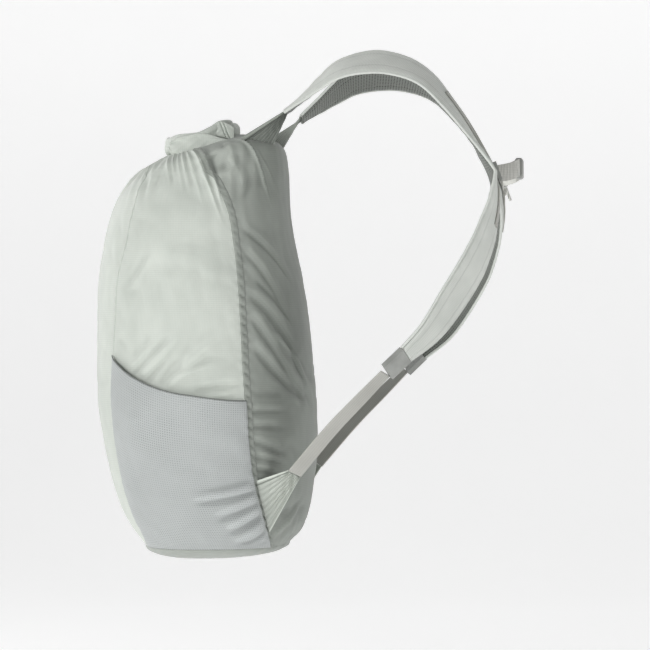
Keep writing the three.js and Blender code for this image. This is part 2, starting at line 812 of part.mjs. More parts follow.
// Pleated cloth triangle between a base on the bag and the end of a strap.
function gusset(name, base, apex, finish) {
  const outer = [];
  const inner = [];
  const columns = pleats * 2;
  const normal = mix(apex(0), apex(1), 0.5).sub(base(0)).cross(base(1).sub(base(0))).normalize();
  for (let i = 0; i <= pleatRows; i += 1) {
    const climb = i / pleatRows;
    const depth = pleatHeight / 2 * (1 - pleatFade * climb) * mixed(pleatFoot, 1, climb);
    const out = [];
    const back = [];
    for (let j = 0; j <= columns; j += 1) {
      const across = j / columns;
      const centre = mix(base(across), apex(across), climb);
      centre.addScaledVector(normal, (j % 2 ? 1 : -1) * depth);
      out.push(centre.clone().addScaledVector(normal, gussetWall / 2));
      back.push(centre.clone().addScaledVector(normal, -gussetWall / 2));
    }
    outer.push(out);
    inner.push(back);
  }
  return wall(name, outer, inner, finish);
}

// Upper gusset, from the top edge of the bag to the strap.
function strapWing(name) {
  const base = (share) => onBag(
    mixed(wingFrom, wingTo, share),
    mixed(crownLevel, 1, mixed(wingHigh, wingLow, share)),
    pieceGap + gussetWall / 2 + pleatHeight * pleatFoot / 2,
  );
  const end = moved(strapPlace(strapPath, 0), -1.5 * pieceGap);
  const apex = (share) => onStrap(end, wingWidth * (0.5 - share), 0);
  return gusset(name, base, apex, shadedCloth);
}

// Lower gusset, from the rear seam to the webbing.
function lowerGusset(name) {
  const base = (share) => {
    const level = mixed(gussetHigh, gussetLow, share);
    const raised = layGap + tapeWall + pieceGap + gussetWall / 2 + pleatHeight * pleatFoot / 2;
    return onBag(sectionSeam('rearSeam', level), level, raised);
  };
  const end = moved(strapPlace(webbingPath, 1), 1.5 * pieceGap);
  const apex = (share) => onStrap(end, webbingWidth * (share - 0.5), 0);
  return gusset(name, base, apex, cloth);
}

// Plain plate in the frame of a strap, raised from the strap's middle.
function plate(name, place, length, width, thick, raised, across, finish) {
  const corners = [];
  for (const end of [-1, 1]) {
    const here = moved(place, end * length / 2);
    corners.push([[-1, -1], [1, -1], [1, 1], [-1, 1]].map(([a, b]) => onStrap(
      here,
      across + a * width / 2,
      raised + b * thick / 2,
    )));
  }
  return sweep(name, corners, finish);
}

// Heights of the rail and of the slider above the middle of the strap
const railLow = strapThick / 2 * strapCrown + layGap;
const sliderMiddle = railLow + railWall + pieceGap + sliderWall / 2;
const sliderPlace = facetPlace(sliderFacet);

// Tape along the strap that the chest slider runs on, over the strap's own sections.
function railTape(name) {
  const from = railFirst / strapSteps;
  const to = railLast / strapSteps;
  const steps = railLast - railFirst;
  return band(name, strapPath, from, to, steps, railWidth, railLow, railWall, -railInset, webbing);
}

function ladderLock(name) {
  const place = moved(strapEnd, pieceGap + lockLength / 2);
  return plate(name, place, lockLength, webbingWidth + 2 * lockRim, lockWall, 0, 0, plastic);
}

function sternumSlider(name) {
  return plate(name, sliderPlace, sliderLength, sliderWidth, sliderWall, sliderMiddle, -railInset, plastic);
}

// Short free end of the chest webbing, under the slider.
function sternumTab(name) {
  const place = moved(sliderPlace, sliderLength / 2 + pieceGap + tabLength / 2);
  return plate(name, place, tabLength, tabWidth, webbingWall, sliderMiddle, -railInset, webbing);
}

// Chest webbing from the slider, bowed forward to the buckle.
function sternumWebbing(name) {
  const start = onStrap(sliderPlace, -railInset - sliderWidth / 2 - pieceGap, sliderMiddle);
  const lead = onStrap(sliderPlace, -railInset - sliderWidth, sliderMiddle);
  const end = point(sternumForward, -buckleLength / 2 - pieceGap, -sternumDrop);
  const level = end.clone().setY(end.y - webbingWidth / 2);
  const bow = mix(lead, end, bowAt).add(point((end.x - lead.x) * bowDepth, 0, 0));
  const line = new THREE.CatmullRomCurve3([start, lead, bow, level, end]);
  const sections = [];
  for (let i = 0; i <= webbingSteps; i += 1) {
    const share = i / webbingSteps;
    const centre = line.getPointAt(share);
    const tangent = line.getTangentAt(share);
    const high = mix(sliderPlace.tangent.clone().negate(), up, Math.min(1, 2 * share));
    high.addScaledVector(tangent, -high.dot(tangent)).normalize();
    const out = tangent.clone().cross(high).normalize();
    sections.push([[-1, -1], [1, -1], [1, 1], [-1, 1]].map(([a, b]) => centre.clone()
      .addScaledVector(high, a * webbingWidth / 2)
      .addScaledVector(out, b * webbingWall / 2)));
  }
  return sweep(name, sections, webbing);
}

// One half of the closed buckle, with its edges bevelled.
function buckleHalf(name, from, to) {
  const bevel = buckleBevel;
  const sections = [[from, 1], [from + bevel, 0], [to - bevel, 0], [to, 1]].map(([y, inset]) => {
    const thick = buckleWall / 2 - inset * bevel / 2;
    const high = buckleHeight / 2 - inset * bevel;
    return [
      [-thick, -high + bevel], [-thick + bevel, -high], [thick - bevel, -high], [thick, -high + bevel],
      [thick, high - bevel], [thick - bevel, high], [-thick + bevel, high], [-thick, high - bevel],
    ].map(([x, z]) => point(sternumForward + x, y, -sternumDrop + z));
  });
  return sweep(name, sections, plastic);
}

// Mirror image of a piece on the wearer's other side.
function otherSide(name, solid) {
  const points = [];
  const position = solid.geometry.attributes.position;
  for (let i = 0; i < position.count; i += 1) {
    points.push(point(position.getX(i), -position.getY(i), position.getZ(i)));
  }
  const index = solid.geometry.index.array;
  const triangles = [];
  for (let i = 0; i < index.length; i += 3) triangles.push([index[i], index[i + 2], index[i + 1]]);
  return body(name, points, triangles, solid.userData.finish);
}

const pack = new THREE.Group();
const frontSeam = (level) => sectionSeam('frontSeam', level);
const rearSeam = (level) => sectionSeam('rearSeam', level);

pack.add(panel('front_panel', (v) => -frontSeam(v), frontSeam, frontColumns, cloth));
pack.add(panel('back_panel', rearSeam, (v) => 360 - rearSeam(v), backColumns, shadedCloth));
pack.add(basePanel());
pack.add(rolledCollar());
pack.add(collarTuck());
pack.add(collarClasp());
pack.add(buckleHalf('buckle_socket', -buckleLength / 2, buckleMiddle - pieceGap / 2));
pack.add(buckleHalf('buckle_plug', buckleMiddle + pieceGap / 2, buckleLength / 2));

// Pieces of which the bag has one on each side
const pairs = [
  panel('side_panel', frontSeam, rearSeam, sideColumns, cloth),
  seamTape('front_seam', frontSeam),
  seamTape('rear_seam', rearSeam),
  sidePocket('side_pocket'),
  pocketBinding('pocket_binding'),
  strapWing('strap_wing'),
  shoulderStrap('shoulder_strap'),
  strapPiping('outer_piping', 1),
  strapPiping('inner_piping', -1),
  lowerGusset('lower_gusset'),
  band('lower_webbing', webbingPath, 0, 1, webbingSteps, webbingWidth, -webbingWall / 2, webbingWall, 0, webbing),
  railTape('rail_tape'),
  ladderLock('ladder_lock'),
  sternumSlider('sternum_slider'),
  sternumTab('sternum_tab'),
  sternumWebbing('sternum_webbing'),
];
for (const piece of pairs) {
  const plain = piece.name;
  piece.name = `${plain}_right`;
  pack.add(piece, otherSide(`${plain}_left`, piece));
}

export default pack;
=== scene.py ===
"""Finished look of the packable backpack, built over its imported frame.

Metres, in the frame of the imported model: +X is forward, +Z is up, the right side is -Y.
"""

import json
import logging
import math
from dataclasses import dataclass, field
from enum import Enum
from typing import Iterable, Optional, Sequence, Union

import bpy
import numpy as np
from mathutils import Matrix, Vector

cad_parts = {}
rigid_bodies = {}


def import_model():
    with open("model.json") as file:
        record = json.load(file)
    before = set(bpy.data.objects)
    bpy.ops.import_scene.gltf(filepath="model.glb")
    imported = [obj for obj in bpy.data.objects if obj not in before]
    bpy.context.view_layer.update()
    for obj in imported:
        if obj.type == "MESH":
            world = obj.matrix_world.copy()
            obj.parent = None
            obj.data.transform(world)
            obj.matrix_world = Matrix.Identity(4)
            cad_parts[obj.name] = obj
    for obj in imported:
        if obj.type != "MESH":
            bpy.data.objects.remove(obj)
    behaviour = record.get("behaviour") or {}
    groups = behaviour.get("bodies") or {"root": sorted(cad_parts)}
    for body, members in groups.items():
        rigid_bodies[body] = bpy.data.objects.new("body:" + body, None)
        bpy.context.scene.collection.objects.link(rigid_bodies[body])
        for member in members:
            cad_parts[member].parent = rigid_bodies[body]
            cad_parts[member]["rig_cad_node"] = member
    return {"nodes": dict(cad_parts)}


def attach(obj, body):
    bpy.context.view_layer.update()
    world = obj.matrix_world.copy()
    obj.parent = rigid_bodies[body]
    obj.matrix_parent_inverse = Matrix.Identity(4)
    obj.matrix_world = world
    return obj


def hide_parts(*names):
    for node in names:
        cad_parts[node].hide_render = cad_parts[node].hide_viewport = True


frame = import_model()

logging.basicConfig(level=logging.INFO, format="%(name)s: %(message)s")
log = logging.getLogger("backpack")

Array = np.ndarray
Number = Union[float, Array]
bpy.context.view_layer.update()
MM = 0.001

# Sizes that several pieces share.
BAG_HEIGHT = 0.368
BAG_WIDTH = 0.262
BAG_DEPTH = 0.197
AXIS_BACK = 0.160
BASE_DROP = 0.444
CLOTH_WALL = 0.0014
TAPE_WIDTH = 0.007
PUCKER_LENGTH = 0.0088
SEAM_LEVEL = 0.037
CROWN_LEVEL = 0.939
CAP_RUN = 0.9
PER_DEGREE = BAG_WIDTH * math.pi / 360


class Side(Enum):
    """Side of the wearer, with the sign of its Y."""

    RIGHT = -1
    LEFT = 1

    @property
    def tail(self) -> str:
        """Ending of the side's node names."""
        return "_" + self.name.lower()


class Slot(Enum):
    """Material slots of the record."""

    CLOTH = "light_cloth"
    # The light cloth painted darker as shade.
    SHADED = "shaded_cloth"
    MESH = "stretch_mesh"
    TAPE = "seam_tape"
    PADDING = "strap_padding"
    WEBBING = "webbing"
    PLASTIC = "fitting_plastic"


class Variant(Enum):
    """Finishes that differ from those of their slot, by the names of their materials."""

    # The pocket's elastic edge, whose dark colour also paints the shadow along it.
    EDGE = "pocket_edge"
    # The strap wing's cloth, painted dark as shade.
    WING = "wing_cloth"
    PIPING = "strap_piping"
    GUSSET = "gusset_cloth"
    CHEST = "chest_webbing"


class Table:
    """Short table of shares, read on a smooth curve through its rows."""

    def __init__(self, columns: str, *rows: Sequence[float]) -> None:
        """Keep the rows under their column names.

        Args:
            columns: names of the columns, the key column first.
            rows: the rows, in the key's order.
        """
        self.columns = columns.split()
        self.rows = np.array(rows, float)

    def __getitem__(self, column: str) -> Array:
        """Values of one column.

        Args:
            column: the column's name.

        Returns:
            Array: one value for each row.
        """
        return self.rows[:, self.columns.index(column)]

    def at(self, column: str, place: Number) -> Array:
        """Value of a column at places along the key column.

        Args:
            column: the column's name.
            place: values of the key.

        Returns:
            Array: the column's values there.
        """
        keys, values = self.rows[:, 0], self[column]
        place = np.clip(place, keys[0], keys[-1])
        i = np.clip(np.searchsorted(keys, place, side="left") - 1, 0, len(keys) - 2)
        before, after = np.maximum(i - 1, 0), np.minimum(i + 2, len(keys) - 1)
        span = keys[i + 1] - keys[i]
        s = (place - keys[i]) / span
        m0 = (values[i + 1] - values[before]) / (keys[i + 1] - keys[before]) * span
        m1 = (values[after] - values[i]) / (keys[after] - keys[i]) * span
        return (
            (2 * s**3 - 3 * s**2 + 1) * values[i]
            + (s**3 - 2 * s**2 + s) * m0
            + (3 * s**2 - 2 * s**3) * values[i + 1]
            + (s**3 - s**2) * m1
        )


SECTIONS = Table(
    "level front back half square front_seam rear_seam",
    (0.029, 0.243, 0.381, 0.36, 2.3, 38, 150),
    (0.067, 0.294, 0.442, 0.4, 2.3, 45, 138),
    (0.116, 0.35, 0.477, 0.435, 2.35, 45.5, 130),
    (0.189, 0.4, 0.503, 0.465, 2.4, 45.5, 123),
    (0.287, 0.441, 0.518, 0.49, 2.4, 45, 119),
    (0.385, 0.466, 0.513, 0.5, 2.4, 45.5, 118),
    (0.483, 0.471, 0.497, 0.5, 2.35, 46.5, 118),
    (0.583, 0.471, 0.477, 0.495, 2.3, 47.5, 118.6),
    (0.681, 0.466, 0.447, 0.48, 2.3, 48.5, 119),
    (0.755, 0.446, 0.416, 0.46, 2.3, 52, 118.5),
    (0.828, 0.416, 0.396, 0.43, 2.3, 53, 116),
    (0.877, 0.38, 0.391, 0.4, 2.3, 53, 111),
    (0.915, 0.334, 0.391, 0.375, 2.3, 51, 105),
    (0.939, 0.284, 0.391, 0.355, 2.3, 48, 100),
    (1, 0.284, 0.391, 0.355, 2.3, 26, 90),
)
CROWN = Table(
    "angle fullness wrap",
    (0, 1.05, 0),
    (45, 1.15, 0),
    (80, 1.7, 5),
    (105, 3, 12),
    (125, 4, 30),
    (150, 3.5, 62),
    (180, 2.7, 74),
)
ROLL = Table(
    "reach spread rise height thick",
    (0, 0.24, 0, 0.73, 0.8),
    (0.13, 0.62, 0.15, 0.86, 0.96),
    (0.36, 0.94, 0.3, 0.94, 1),
    (0.65, 1, 0.47, 0.78, 1),
    (0.88, 0.84, 0.88, 0.88, 0.94),
    (0.99, 0.48, 1, 0.9, 0.92),
    (1, 0, 1, 0.88, 0.92),
)
# Turned end of the roll on each side, upper and lower edge in millimetres.
LEAF = Table(
    "share upper lower",
    (0, -75.4, -78),
    (0.03, -72, -82.5),
    (0.116, -69.1, -86),
    (0.258, -66.9, -85.7),
    (0.42, -65.1, -84.4),
    (0.58, -64.6, -82.5),
    (0.7, -65.9, -77.6),
    (0.8, -67.7, -74.6),
    (0.88, -69, -72.6),
    (1, -70.3, -70.9),
)
# Turned fold behind it, in the same way.
LOBE = Table(
    "share upper lower",
    (0, -62.3, -62.6),
    (0.2, -59, -64.6),
    (0.4, -54.9, -66.6),
    (0.5, -53.4, -67.4),
    (0.62, -54, -68),
    (0.8, -56.2, -69.2),
    (0.92, -58, -69.6),
    (1, -60.2, -68.2),
)
STRAP = Table(
    "forward out down lean",
    (-0.74, 0.72, 0.175, 4),
    (-0.596, 0.767, 0.129, 11),
    (-0.462, 0.837, 0.085, 18),
    (-0.298, 0.907, 0.042, 24),
    (-0.01, 0.977, 0.019, 27),
    (0.259, 1, 0.038, 23),
    (0.452, 1, 0.081, 17),
    (0.627, 0.977, 0.16, 11),
    (0.782, 0.93, 0.248, 4),
    (0.91, 0.884, 0.332, -4),
    (1, 0.87, 0.4, -8),
    (1.012, 0.93, 0.485, 5),
    (0.965, 1.023, 0.581, 17),
    (0.86, 1.163, 0.692, 25),
    (0.675, 1.302, 0.819, 29),
    (0.49, 1.419, 0.927, 31),
    (0.3, 1.477, 1, 34),
)
WEBBING = Table(
    "forward out down lean",
    (-0.077, 1.488, 1.15, 42),
    (-0.31, 1.419, 1.246, 46),
    (-0.64, 1.27, 1.4, 50),
)
STRAP_ENDS = Table(
    "share width",
    (0, 0.62),
    (0.12, 0.9),
    (0.25, 1),
    (0.78, 1),
    (0.9, 0.8),
    (1, 0.42),
)

# Folds of a side pocket, from one share of its width and climb to another. height is in
# millimetres and width is a share of the climb.
POCKET_FOLDS = Table(
    "across climb to_across to_climb height width",
    (0.52, 0.33, 1, 0.43, 3.0, 0.022),
    (0.6, 0.22, 1, 0.36, 2.6, 0.03),
    (0.66, 0.13, 1, 0.28, 3.4, 0.028),
    (0.66, 0.02, 1, 0.17, 3.0, 0.03),
    (0.78, 0.02, 1, 0.09, 2.2, 0.022),
)
# Folds of each side over the cloth, from one angle and level to another. height and width are
# in millimetres, bend is the sideways bow of the fold in millimetres, sharp is 0 for a soft
# fold and 1 for a crease.
CREASES = Table(
    "angle level to_angle to_level height width bend sharp",
    (88, 0.985, 108, 0.822, 2.6, 2, 0, 0.8),
    (92, 0.983, 109, 0.848, 2.6, 2, 2, 0.8),
    (96, 0.98, 106, 0.885, 1.8, 2, 1, 0.7),
    (101, 0.957, 108, 0.93, -4.5, 9, 0, 0),
    (66, 0.99, 78, 0.9, 2, 2, 0, 0.6),
    (71, 0.99, 81, 0.91, 2, 1.8, 0, 0.6),
    (76, 0.99, 86, 0.9, 2.2, 1.8, 0, 0.7),
    (81, 0.988, 90, 0.89, 2.2, 1.8, 0, 0.7),
    (85, 0.986, 96, 0.87, 2, 1.8, 0, 0.7),
    (55, 0.985, 66, 0.86, 1.4, 3.5, 0, 0.2),
    (45, 0.985, 58, 0.84, 1.4, 4.5, 0, 0.1),
    (35, 0.985, 47, 0.85, 1.2, 4, 0, 0.2),
    (22, 0.985, 32, 0.85, 1.2, 4, 0, 0.2),
    (10, 0.985, 14, 0.86, 1, 4, 0, 0.2),
    (124, 0.976, 149, 0.862, 3.4, 1.5, 0, 1),
    (134, 0.955, 159, 0.872, 1.2, 1.8, 0, 0.7),
    (112, 0.95, 124, 0.885, 1.8, 5, 3, 0.3),
    (108, 0.99, 121, 0.978, 1.2, 2, 0, 0.6),
    (112, 0.975, 122, 0.965, 1, 2.4, 0, 0.5),
    (126, 0.787, 162, 0.665, -1.8, 3.5, 0, 0.5),
    (124, 0.735, 152, 0.58, -1.8, 4, 0, 0.5),
    (131, 0.665, 155, 0.565, -1.6, 3, 0, 0.5),
    (125, 0.632, 163, 0.41, -2.2, 4.5, 5, 0.4),
    (139, 0.545, 164, 0.445, 2.2, 3.5, 0, 0.6),
    (125, 0.575, 159, 0.39, -2.2, 4, -4, 0.5),
    (125, 0.505, 161, 0.388, -2, 4, -6, 0.4),
    (150, 0.5, 166, 0.42, -1.6, 3, 0, 0.5),
    (119.5, 0.362, 142, 0.362, -2, 2.5, 0, 0.6),
    (120, 0.326, 139, 0.322, -1.7, 2.5, 1, 0.6),
    (119.5, 0.29, 144, 0.252, -1.8, 3, 1, 0.6),
    (119.5, 0.254, 145, 0.232, -1.8, 2.6, 1, 0.6),
    (119, 0.228, 140, 0.212, -2, 2.4, 0, 0.6),
    (136, 0.108, 150, 0.155, 1.4, 4, 0, 0.3),
    (142, 0.07, 164, 0.138, 1.4, 4, 0, 0.3),
    (64, 0.452, 84, 0.545, -1.5, 3.4, 0, 0.4),
    (73, 0.436, 89, 0.525, -1.5, 3.4, 0, 0.4),
    (80, 0.425, 95, 0.56, -1.6, 7, 0, 0.1),
    (84, 0.425, 104, 0.54, 1.5, 5, 0, 0.3),
    (88, 0.447, 104, 0.48, 1.2, 2.4, 0, 0.5),
    (94, 0.415, 117, 0.428, -1.3, 2.6, 0, 0.5),
    (98, 0.4, 113, 0.41, 1.4, 2.6, 0, 0.5),
    (63, 0.66, 73, 0.735, 0.9, 4, 0, 0.2),
)


def spow(value: Array, exponent: Number) -> Array:
    """Power that keeps the sign.

    Args:
        value: the numbers.
        exponent: the power.

    Returns:
        Array: the signed power.
    """
    return np.sign(value) * np.abs(value) ** exponent


def unit(v: Array) -> Array:
    """Vectors at length one.

    Args:
        v: the vectors, along the last axis.

    Returns:
        Array: the same directions at length one.
    """
    return v / np.maximum(np.linalg.norm(v, axis=-1, keepdims=True), 1e-12)


def ramp(value: Number, low: float, high: float) -> Array:
    """Smooth step from 0 at low to 1 at high.

    Args:
        value: the numbers.
        low: where the step begins.
        high: where it ends.

    Returns:
        Array: shares from 0 to 1.
    """
    t = np.clip((np.asarray(value) - low) / (high - low), 0, 1)
    return t * t * (3 - 2 * t)


def blend(a: Number, b: Number, share: Number) -> Array:
    """Value between two others.

    Args:
        a: value at share 0.
        b: value at share 1.
        share: the share.

    Returns:
        Array: the mixed value.
    """
    return a + (b - a) * share


def spline(gap: Array) -> Array:
    """Weight of a grid point in a smooth curve.

    Args:
        gap: distance from the point in cells.

    Returns:
        Array: the weights.
    """
    d = np.abs(gap)
    return np.where(d < 1, 2 / 3 - d**2 + d**3 / 2, np.maximum(2 - d, 0) ** 3 / 6)


def around(values: Array, reach: int) -> Array:
    """Mean of the cells around each cell of a grid.

    Args:
        values: the grid.
        reach: cells to each side.

    Returns:
        Array: the means.
    """
    span = 2 * reach + 1
    for axis in (0, 1):
        pad = [(reach, reach) if a == axis else (0, 0) for a in (0, 1)]
        run = np.insert(np.cumsum(np.pad(values, pad, mode="edge"), axis), 0, 0, axis)
        high = np.take(run, range(span, run.shape[axis]), axis)
        values = (high - np.take(run, range(run.shape[axis] - span), axis)) / span
    return values


class Ripple:
    """Seeded smooth noise over a plane, as a sum of a few waves."""

    def __init__(self, seed: int, wave: tuple[float, float], turn: float, spread: float) -> None:
        """Draw the waves.

        Args:
            seed: seed of the draw.
            wave: shortest and longest wave length in metres.
            turn: main direction of the waves in degrees.
            spread: largest turn from it in degrees.
        """
        rng = np.random.default_rng(seed)
        count = 14
        turns = np.radians(turn + rng.uniform(-spread, spread, count))
        lengths = np.exp(rng.uniform(math.log(wave[0]), math.log(wave[1]), count))
        self.wave = np.stack((np.cos(turns), np.sin(turns))) * 2 * np.pi / lengths
        self.phase = rng.uniform(0, 2 * np.pi, count)
        self.weight = lengths / lengths.sum() * 2.2

    def at(self, u: Array, v: Array) -> Array:
        """Noise at places in the plane.

        Args:
            u: first coordinate in metres.
            v: second coordinate in metres.

        Returns:
            Array: values from about -1 to 1.
        """
        wave = u[..., None] * self.wave[0] + v[..., None] * self.wave[1] + self.phase
        return (np.sin(wave) * self.weight).sum(-1)


class Path:
    """Smooth line through points, read by share of its length."""

    def __init__(self, points: Array, **columns: Array) -> None:
        """Sample the line finely.

        Args:
            points: the points that the line goes through.
            columns: a value at each point, for each named column.
        """
        p = np.vstack((2 * points[0] - points[1], points, 2 * points[-1] - points[-2]))
        fine, stations = [], []
        for i in range(len(points) - 1):
            t = np.linspace(0, 1, 60, endpoint=i == len(points) - 2)[:, None]
            d = np.sqrt(np.linalg.norm(np.diff(p[i : i + 4], axis=0), axis=1))
            a, b, c, e = p[i : i + 4]
            m1 = ((b - a) / d[0] - (c - a) / (d[0] + d[1]) + (c - b) / d[1]) * d[1]
            m2 = ((c - b) / d[1] - (e - b) / (d[1] + d[2]) + (e - c) / d[2]) * d[1]
            fine.append(
                (2 * t**3 - 3 * t**2 + 1) * b
                + (t**3 - 2 * t**2 + t) * m1
                + (3 * t**2 - 2 * t**3) * c
                + (t**3 - t**2) * m2
            )
            stations.append(i + t[:, 0])
        self.fine = np.vstack(fine)
        steps = np.linalg.norm(np.diff(self.fine, axis=0), axis=1)
        run = np.concatenate(([0], np.cumsum(steps)))
        self.length = float(run[-1])
        self.share = run / run[-1]
        self.station = np.concatenate(stations)
        self.tangents = unit(np.gradient(self.fine, axis=0))
        self.columns = columns

    def place(self, share: Number) -> Array:
        """Points at shares of the length.

        Args:
            share: the shares.

        Returns:
            Array: the points.
        """
        return np.stack([np.interp(share, self.share, self.fine[:, k]) for k in range(3)], -1)

    def tangent(self, share: Number) -> Array:
        """Directions at shares of the length.

        Args:
            share: the shares.

        Returns:
            Array: directions of length one.
        """
        line = self.tangents
        return unit(np.stack([np.interp(share, self.share, line[:, k]) for k in range(3)], -1))

    def column(self, name: str, share: Number) -> Array:
        """Values of a named column at shares of the length.

        Args:
            name: the column's name.
            share: the shares.

        Returns:
            Array: the values.
        """
        values = self.columns[name]
        return np.interp(np.interp(share, self.share, self.station), np.arange(len(values)), values)


@dataclass(frozen=True)
class Strip:
    """Line with a width direction and a face direction at each place."""

    centre: Array
    tangent: Array
    across: Array
    face: Array

    def point(self, across: Number, out: Number) -> Array:
        """Points beside the line.

        Args:
            across: metres along the width, one row for each place.
            out: metres out of the face.

        Returns:
            Array: the points.
        """
        across, out = np.asarray(across)[..., None], np.asarray(out)[..., None]
        return self.centre + self.across * across + self.face * out

    def wide(self) -> "Strip":
        """The same strip with a second axis, for a section at each place.

        Returns:
            Strip: arrays with one more axis.
        """
        return Strip(*(a[:, None, :] for a in (self.centre, self.tangent, self.across, self.face)))

    def moved(self, distance: float) -> "Strip":
        """The strip moved along itself.

        Args:
            distance: metres along the tangent.

        Returns:
            Strip: the moved strip.
        """
        return Strip(self.centre + self.tangent * distance, self.tangent, self.across, self.face)


def strap_strip(path: Path, share: Array) -> Strip:
    """Frames along a strap of the right side, as the frame's own nodes have them.

    Args:
        path: the strap's line with its lean.
        share: shares of its length.

    Returns:
        Strip: the frames.
    """
    centre, tangent = path.place(share), path.tangent(share)
    lean = np.radians(path.column("lean", share))[..., None]
    face = unit(np.cross(tangent, np.array([0.0, 1.0, 0.0])))
    face = face * np.cos(lean) + np.array([0.0, -1.0, 0.0]) * np.sin(lean)
    face = unit(face - tangent * (face * tangent).sum(-1, keepdims=True))
    across = unit(np.cross(tangent, face))
    across = np.where(across[..., 1:2] > 0, -across, across)
    return Strip(centre, tangent, across, face)


@dataclass
class Form:
    """Smooth outer form of the bag, by section angle in degrees and level from 0 to 1."""

    roll_reach: float = 0.054
    roll_spread: float = 0.056
    roll_rise: float = 0.015
    roll_back: float = 0.135
    roll_drop: float = 0.0606
    roll_height: float = 0.0205
    roll_thick: float = 0.013
    mouth_dip: float = 0.006
    mouth_gap: float = 0.25 * MM
    rounding_run: float = 0.032
    rounding_reach: float = 0.016

    def __post_init__(self) -> None:
        """Lay the roll's line that the mouth hangs from."""
        order = [*range(len(ROLL.rows)), *reversed(range(len(ROLL.rows) - 1))]
        sign = np.array([-1.0] * len(ROLL.rows) + [1.0] * (len(ROLL.rows) - 1))
        points = np.stack(
            (
                -self.roll_back - self.roll_reach * (1 - ROLL["reach"][order]),
                sign * self.roll_spread * ROLL["spread"][order],
                -self.roll_drop - self.roll_rise * (1 - ROLL["rise"][order]),
            ),
            -1,
        )
        self.roll = Path(points, height=ROLL["height"][order], thick=ROLL["thick"][order])
        self.start = float(SECTIONS["front_seam"][-1])

    def half(self, share: Number) -> tuple[Array, Array]:
        """Half the height and half the thickness of the roll.

        Args:
            share: shares of the roll's length.

        Returns:
            tuple: the two half sizes in metres.
        """
        high = self.roll.column("height", share) * self.roll_height / 2
        return high, self.roll.column("thick", share) * self.roll_thick / 2

    def outward(self, share: Number) -> Array:
        """Level direction out of the roll.

        Args:
            share: shares of the roll's length.

        Returns:
            Array: directions of length one.
        """
        tangent = self.roll.tangent(share)
        return -unit(np.stack((-tangent[..., 1], tangent[..., 0], 0 * tangent[..., 0]), -1))

    def beside(self, share: Array, turn: Array, gap: Array) -> Array:
        """Points beside the roll's section.

        Args:
            share: shares of the roll's length.
            turn: angles in degrees from straight down towards the outer side.
            gap: clearances in metres.

        Returns:
            Array: the points.
        """
        turn = np.radians(turn)[..., None]
        high, wide = ((size + gap)[..., None] for size in self.half(share))
        down = np.array([0.0, 0.0, -1.0])
        centre = self.roll.place(share)
        return centre + self.outward(share) * np.sin(turn) * wide + down * np.cos(turn) * high

    def mouth(self, angle: Array) -> Array:
        """Edge of the bag's mouth, under the roll.

        Args:
            angle: section angles.

        Returns:
            Array: the points.
        """
        turn = angle % 360
        away = np.minimum(turn, 360 - turn)
        wrap = CROWN.at("wrap", away)
        gap = self.mouth_gap + 0.1 * CLOTH_WALL * np.sin(np.radians(wrap))
        share = np.clip((turn - self.start) / (360 - 2 * self.start), 0, 1)
        rim = self.beside(share, wrap, gap)
        part = np.minimum(away / self.start, 1)
        front = np.stack(
            (
                rim[..., 0],
                np.where(turn <= 180, -1.0, 1.0) * np.abs(rim[..., 1]) * part,
                rim[..., 2] - self.mouth_dip * (1 - part**2),
            ),
            -1,
        )
        return np.where((away < self.start)[..., None], front, rim)

    def smooth(self, angle: Array, level: Array) -> Array:
        """Points of the form, softened where the crown begins.

        Args:
            angle: section angles.
            level: levels.

        Returns:
            Array: the points.
        """
        angle, level = np.broadcast_arrays(np.asarray(angle, float), np.asarray(level, float))
        ring = CROWN_LEVEL * BAG_HEIGHT
        run = level * BAG_HEIGHT + np.maximum(level - CROWN_LEVEL, 0) * (CAP_RUN - BAG_HEIGHT)
        reach = np.clip(1 - np.abs(run - ring) / self.rounding_run, 0, 1) * self.rounding_reach
        total = 0.0
        for step in (-1, -0.5, 0, 0.5, 1):
            near = run + step * reach
            over = np.maximum(near - ring, 0)
            total = total + self.sharp(angle, (near - over) / BAG_HEIGHT + over / CAP_RUN) / 5
        return total

    def sharp(self, angle: Array, level: Array) -> Array:
        """Points of the form as its tables give them.

        Args:
            angle: section angles.
            level: levels.

        Returns:
            Array: the points.
        """
        angle, level = np.broadcast_arrays(np.asarray(angle, float), np.asarray(level, float))
        low = np.minimum(level, CROWN_LEVEL)
        rounding = 2 / SECTIONS.at("square", low)
        c, s = np.cos(np.radians(angle)), np.sin(np.radians(angle))
        reach = np.where(c > 0, SECTIONS.at("front", low), SECTIONS.at("back", low)) * BAG_DEPTH
        ring = np.stack(
            (
                -AXIS_BACK - reach * spow(c, rounding),
                -SECTIONS.at("half", low) * BAG_WIDTH * spow(s, rounding),
                -BASE_DROP + low * BAG_HEIGHT,
            ),
            -1,
        )
        turn = angle % 360
        power = 2 / CROWN.at("fullness", np.minimum(turn, 360 - turn))
        climb = np.clip((level - CROWN_LEVEL) / (1 - CROWN_LEVEL), 0, 1) * math.pi / 2
        inward = (1 - np.cos(climb) ** power)[..., None]
        rise = (np.sin(climb) ** power)[..., None]
        share = np.concatenate((inward, inward, rise), -1)
        return ring + (self.mouth(angle) - ring) * share

    def facing(self, angle: Array, level: Array) -> Array:
        """Outward directions of the form.

        Args:
            angle: section angles.
            level: levels.

        Returns:
            Array: directions of length one.
        """
        step, rise = 3.0, 0.004
        high = np.minimum(level + rise, 0.999)
        along = self.smooth(angle + step, level) - self.smooth(angle - step, level)
        climb = self.smooth(angle, high) - self.smooth(angle, high - 2 * rise)
        out = unit(np.cross(climb, along))
        middle = np.array([-AXIS_BACK, 0, -BASE_DROP + BAG_HEIGHT / 2])
        away = ((self.smooth(angle, level) - middle) * out).sum(-1, keepdims=True)
        return np.where(away < 0, -out, out)

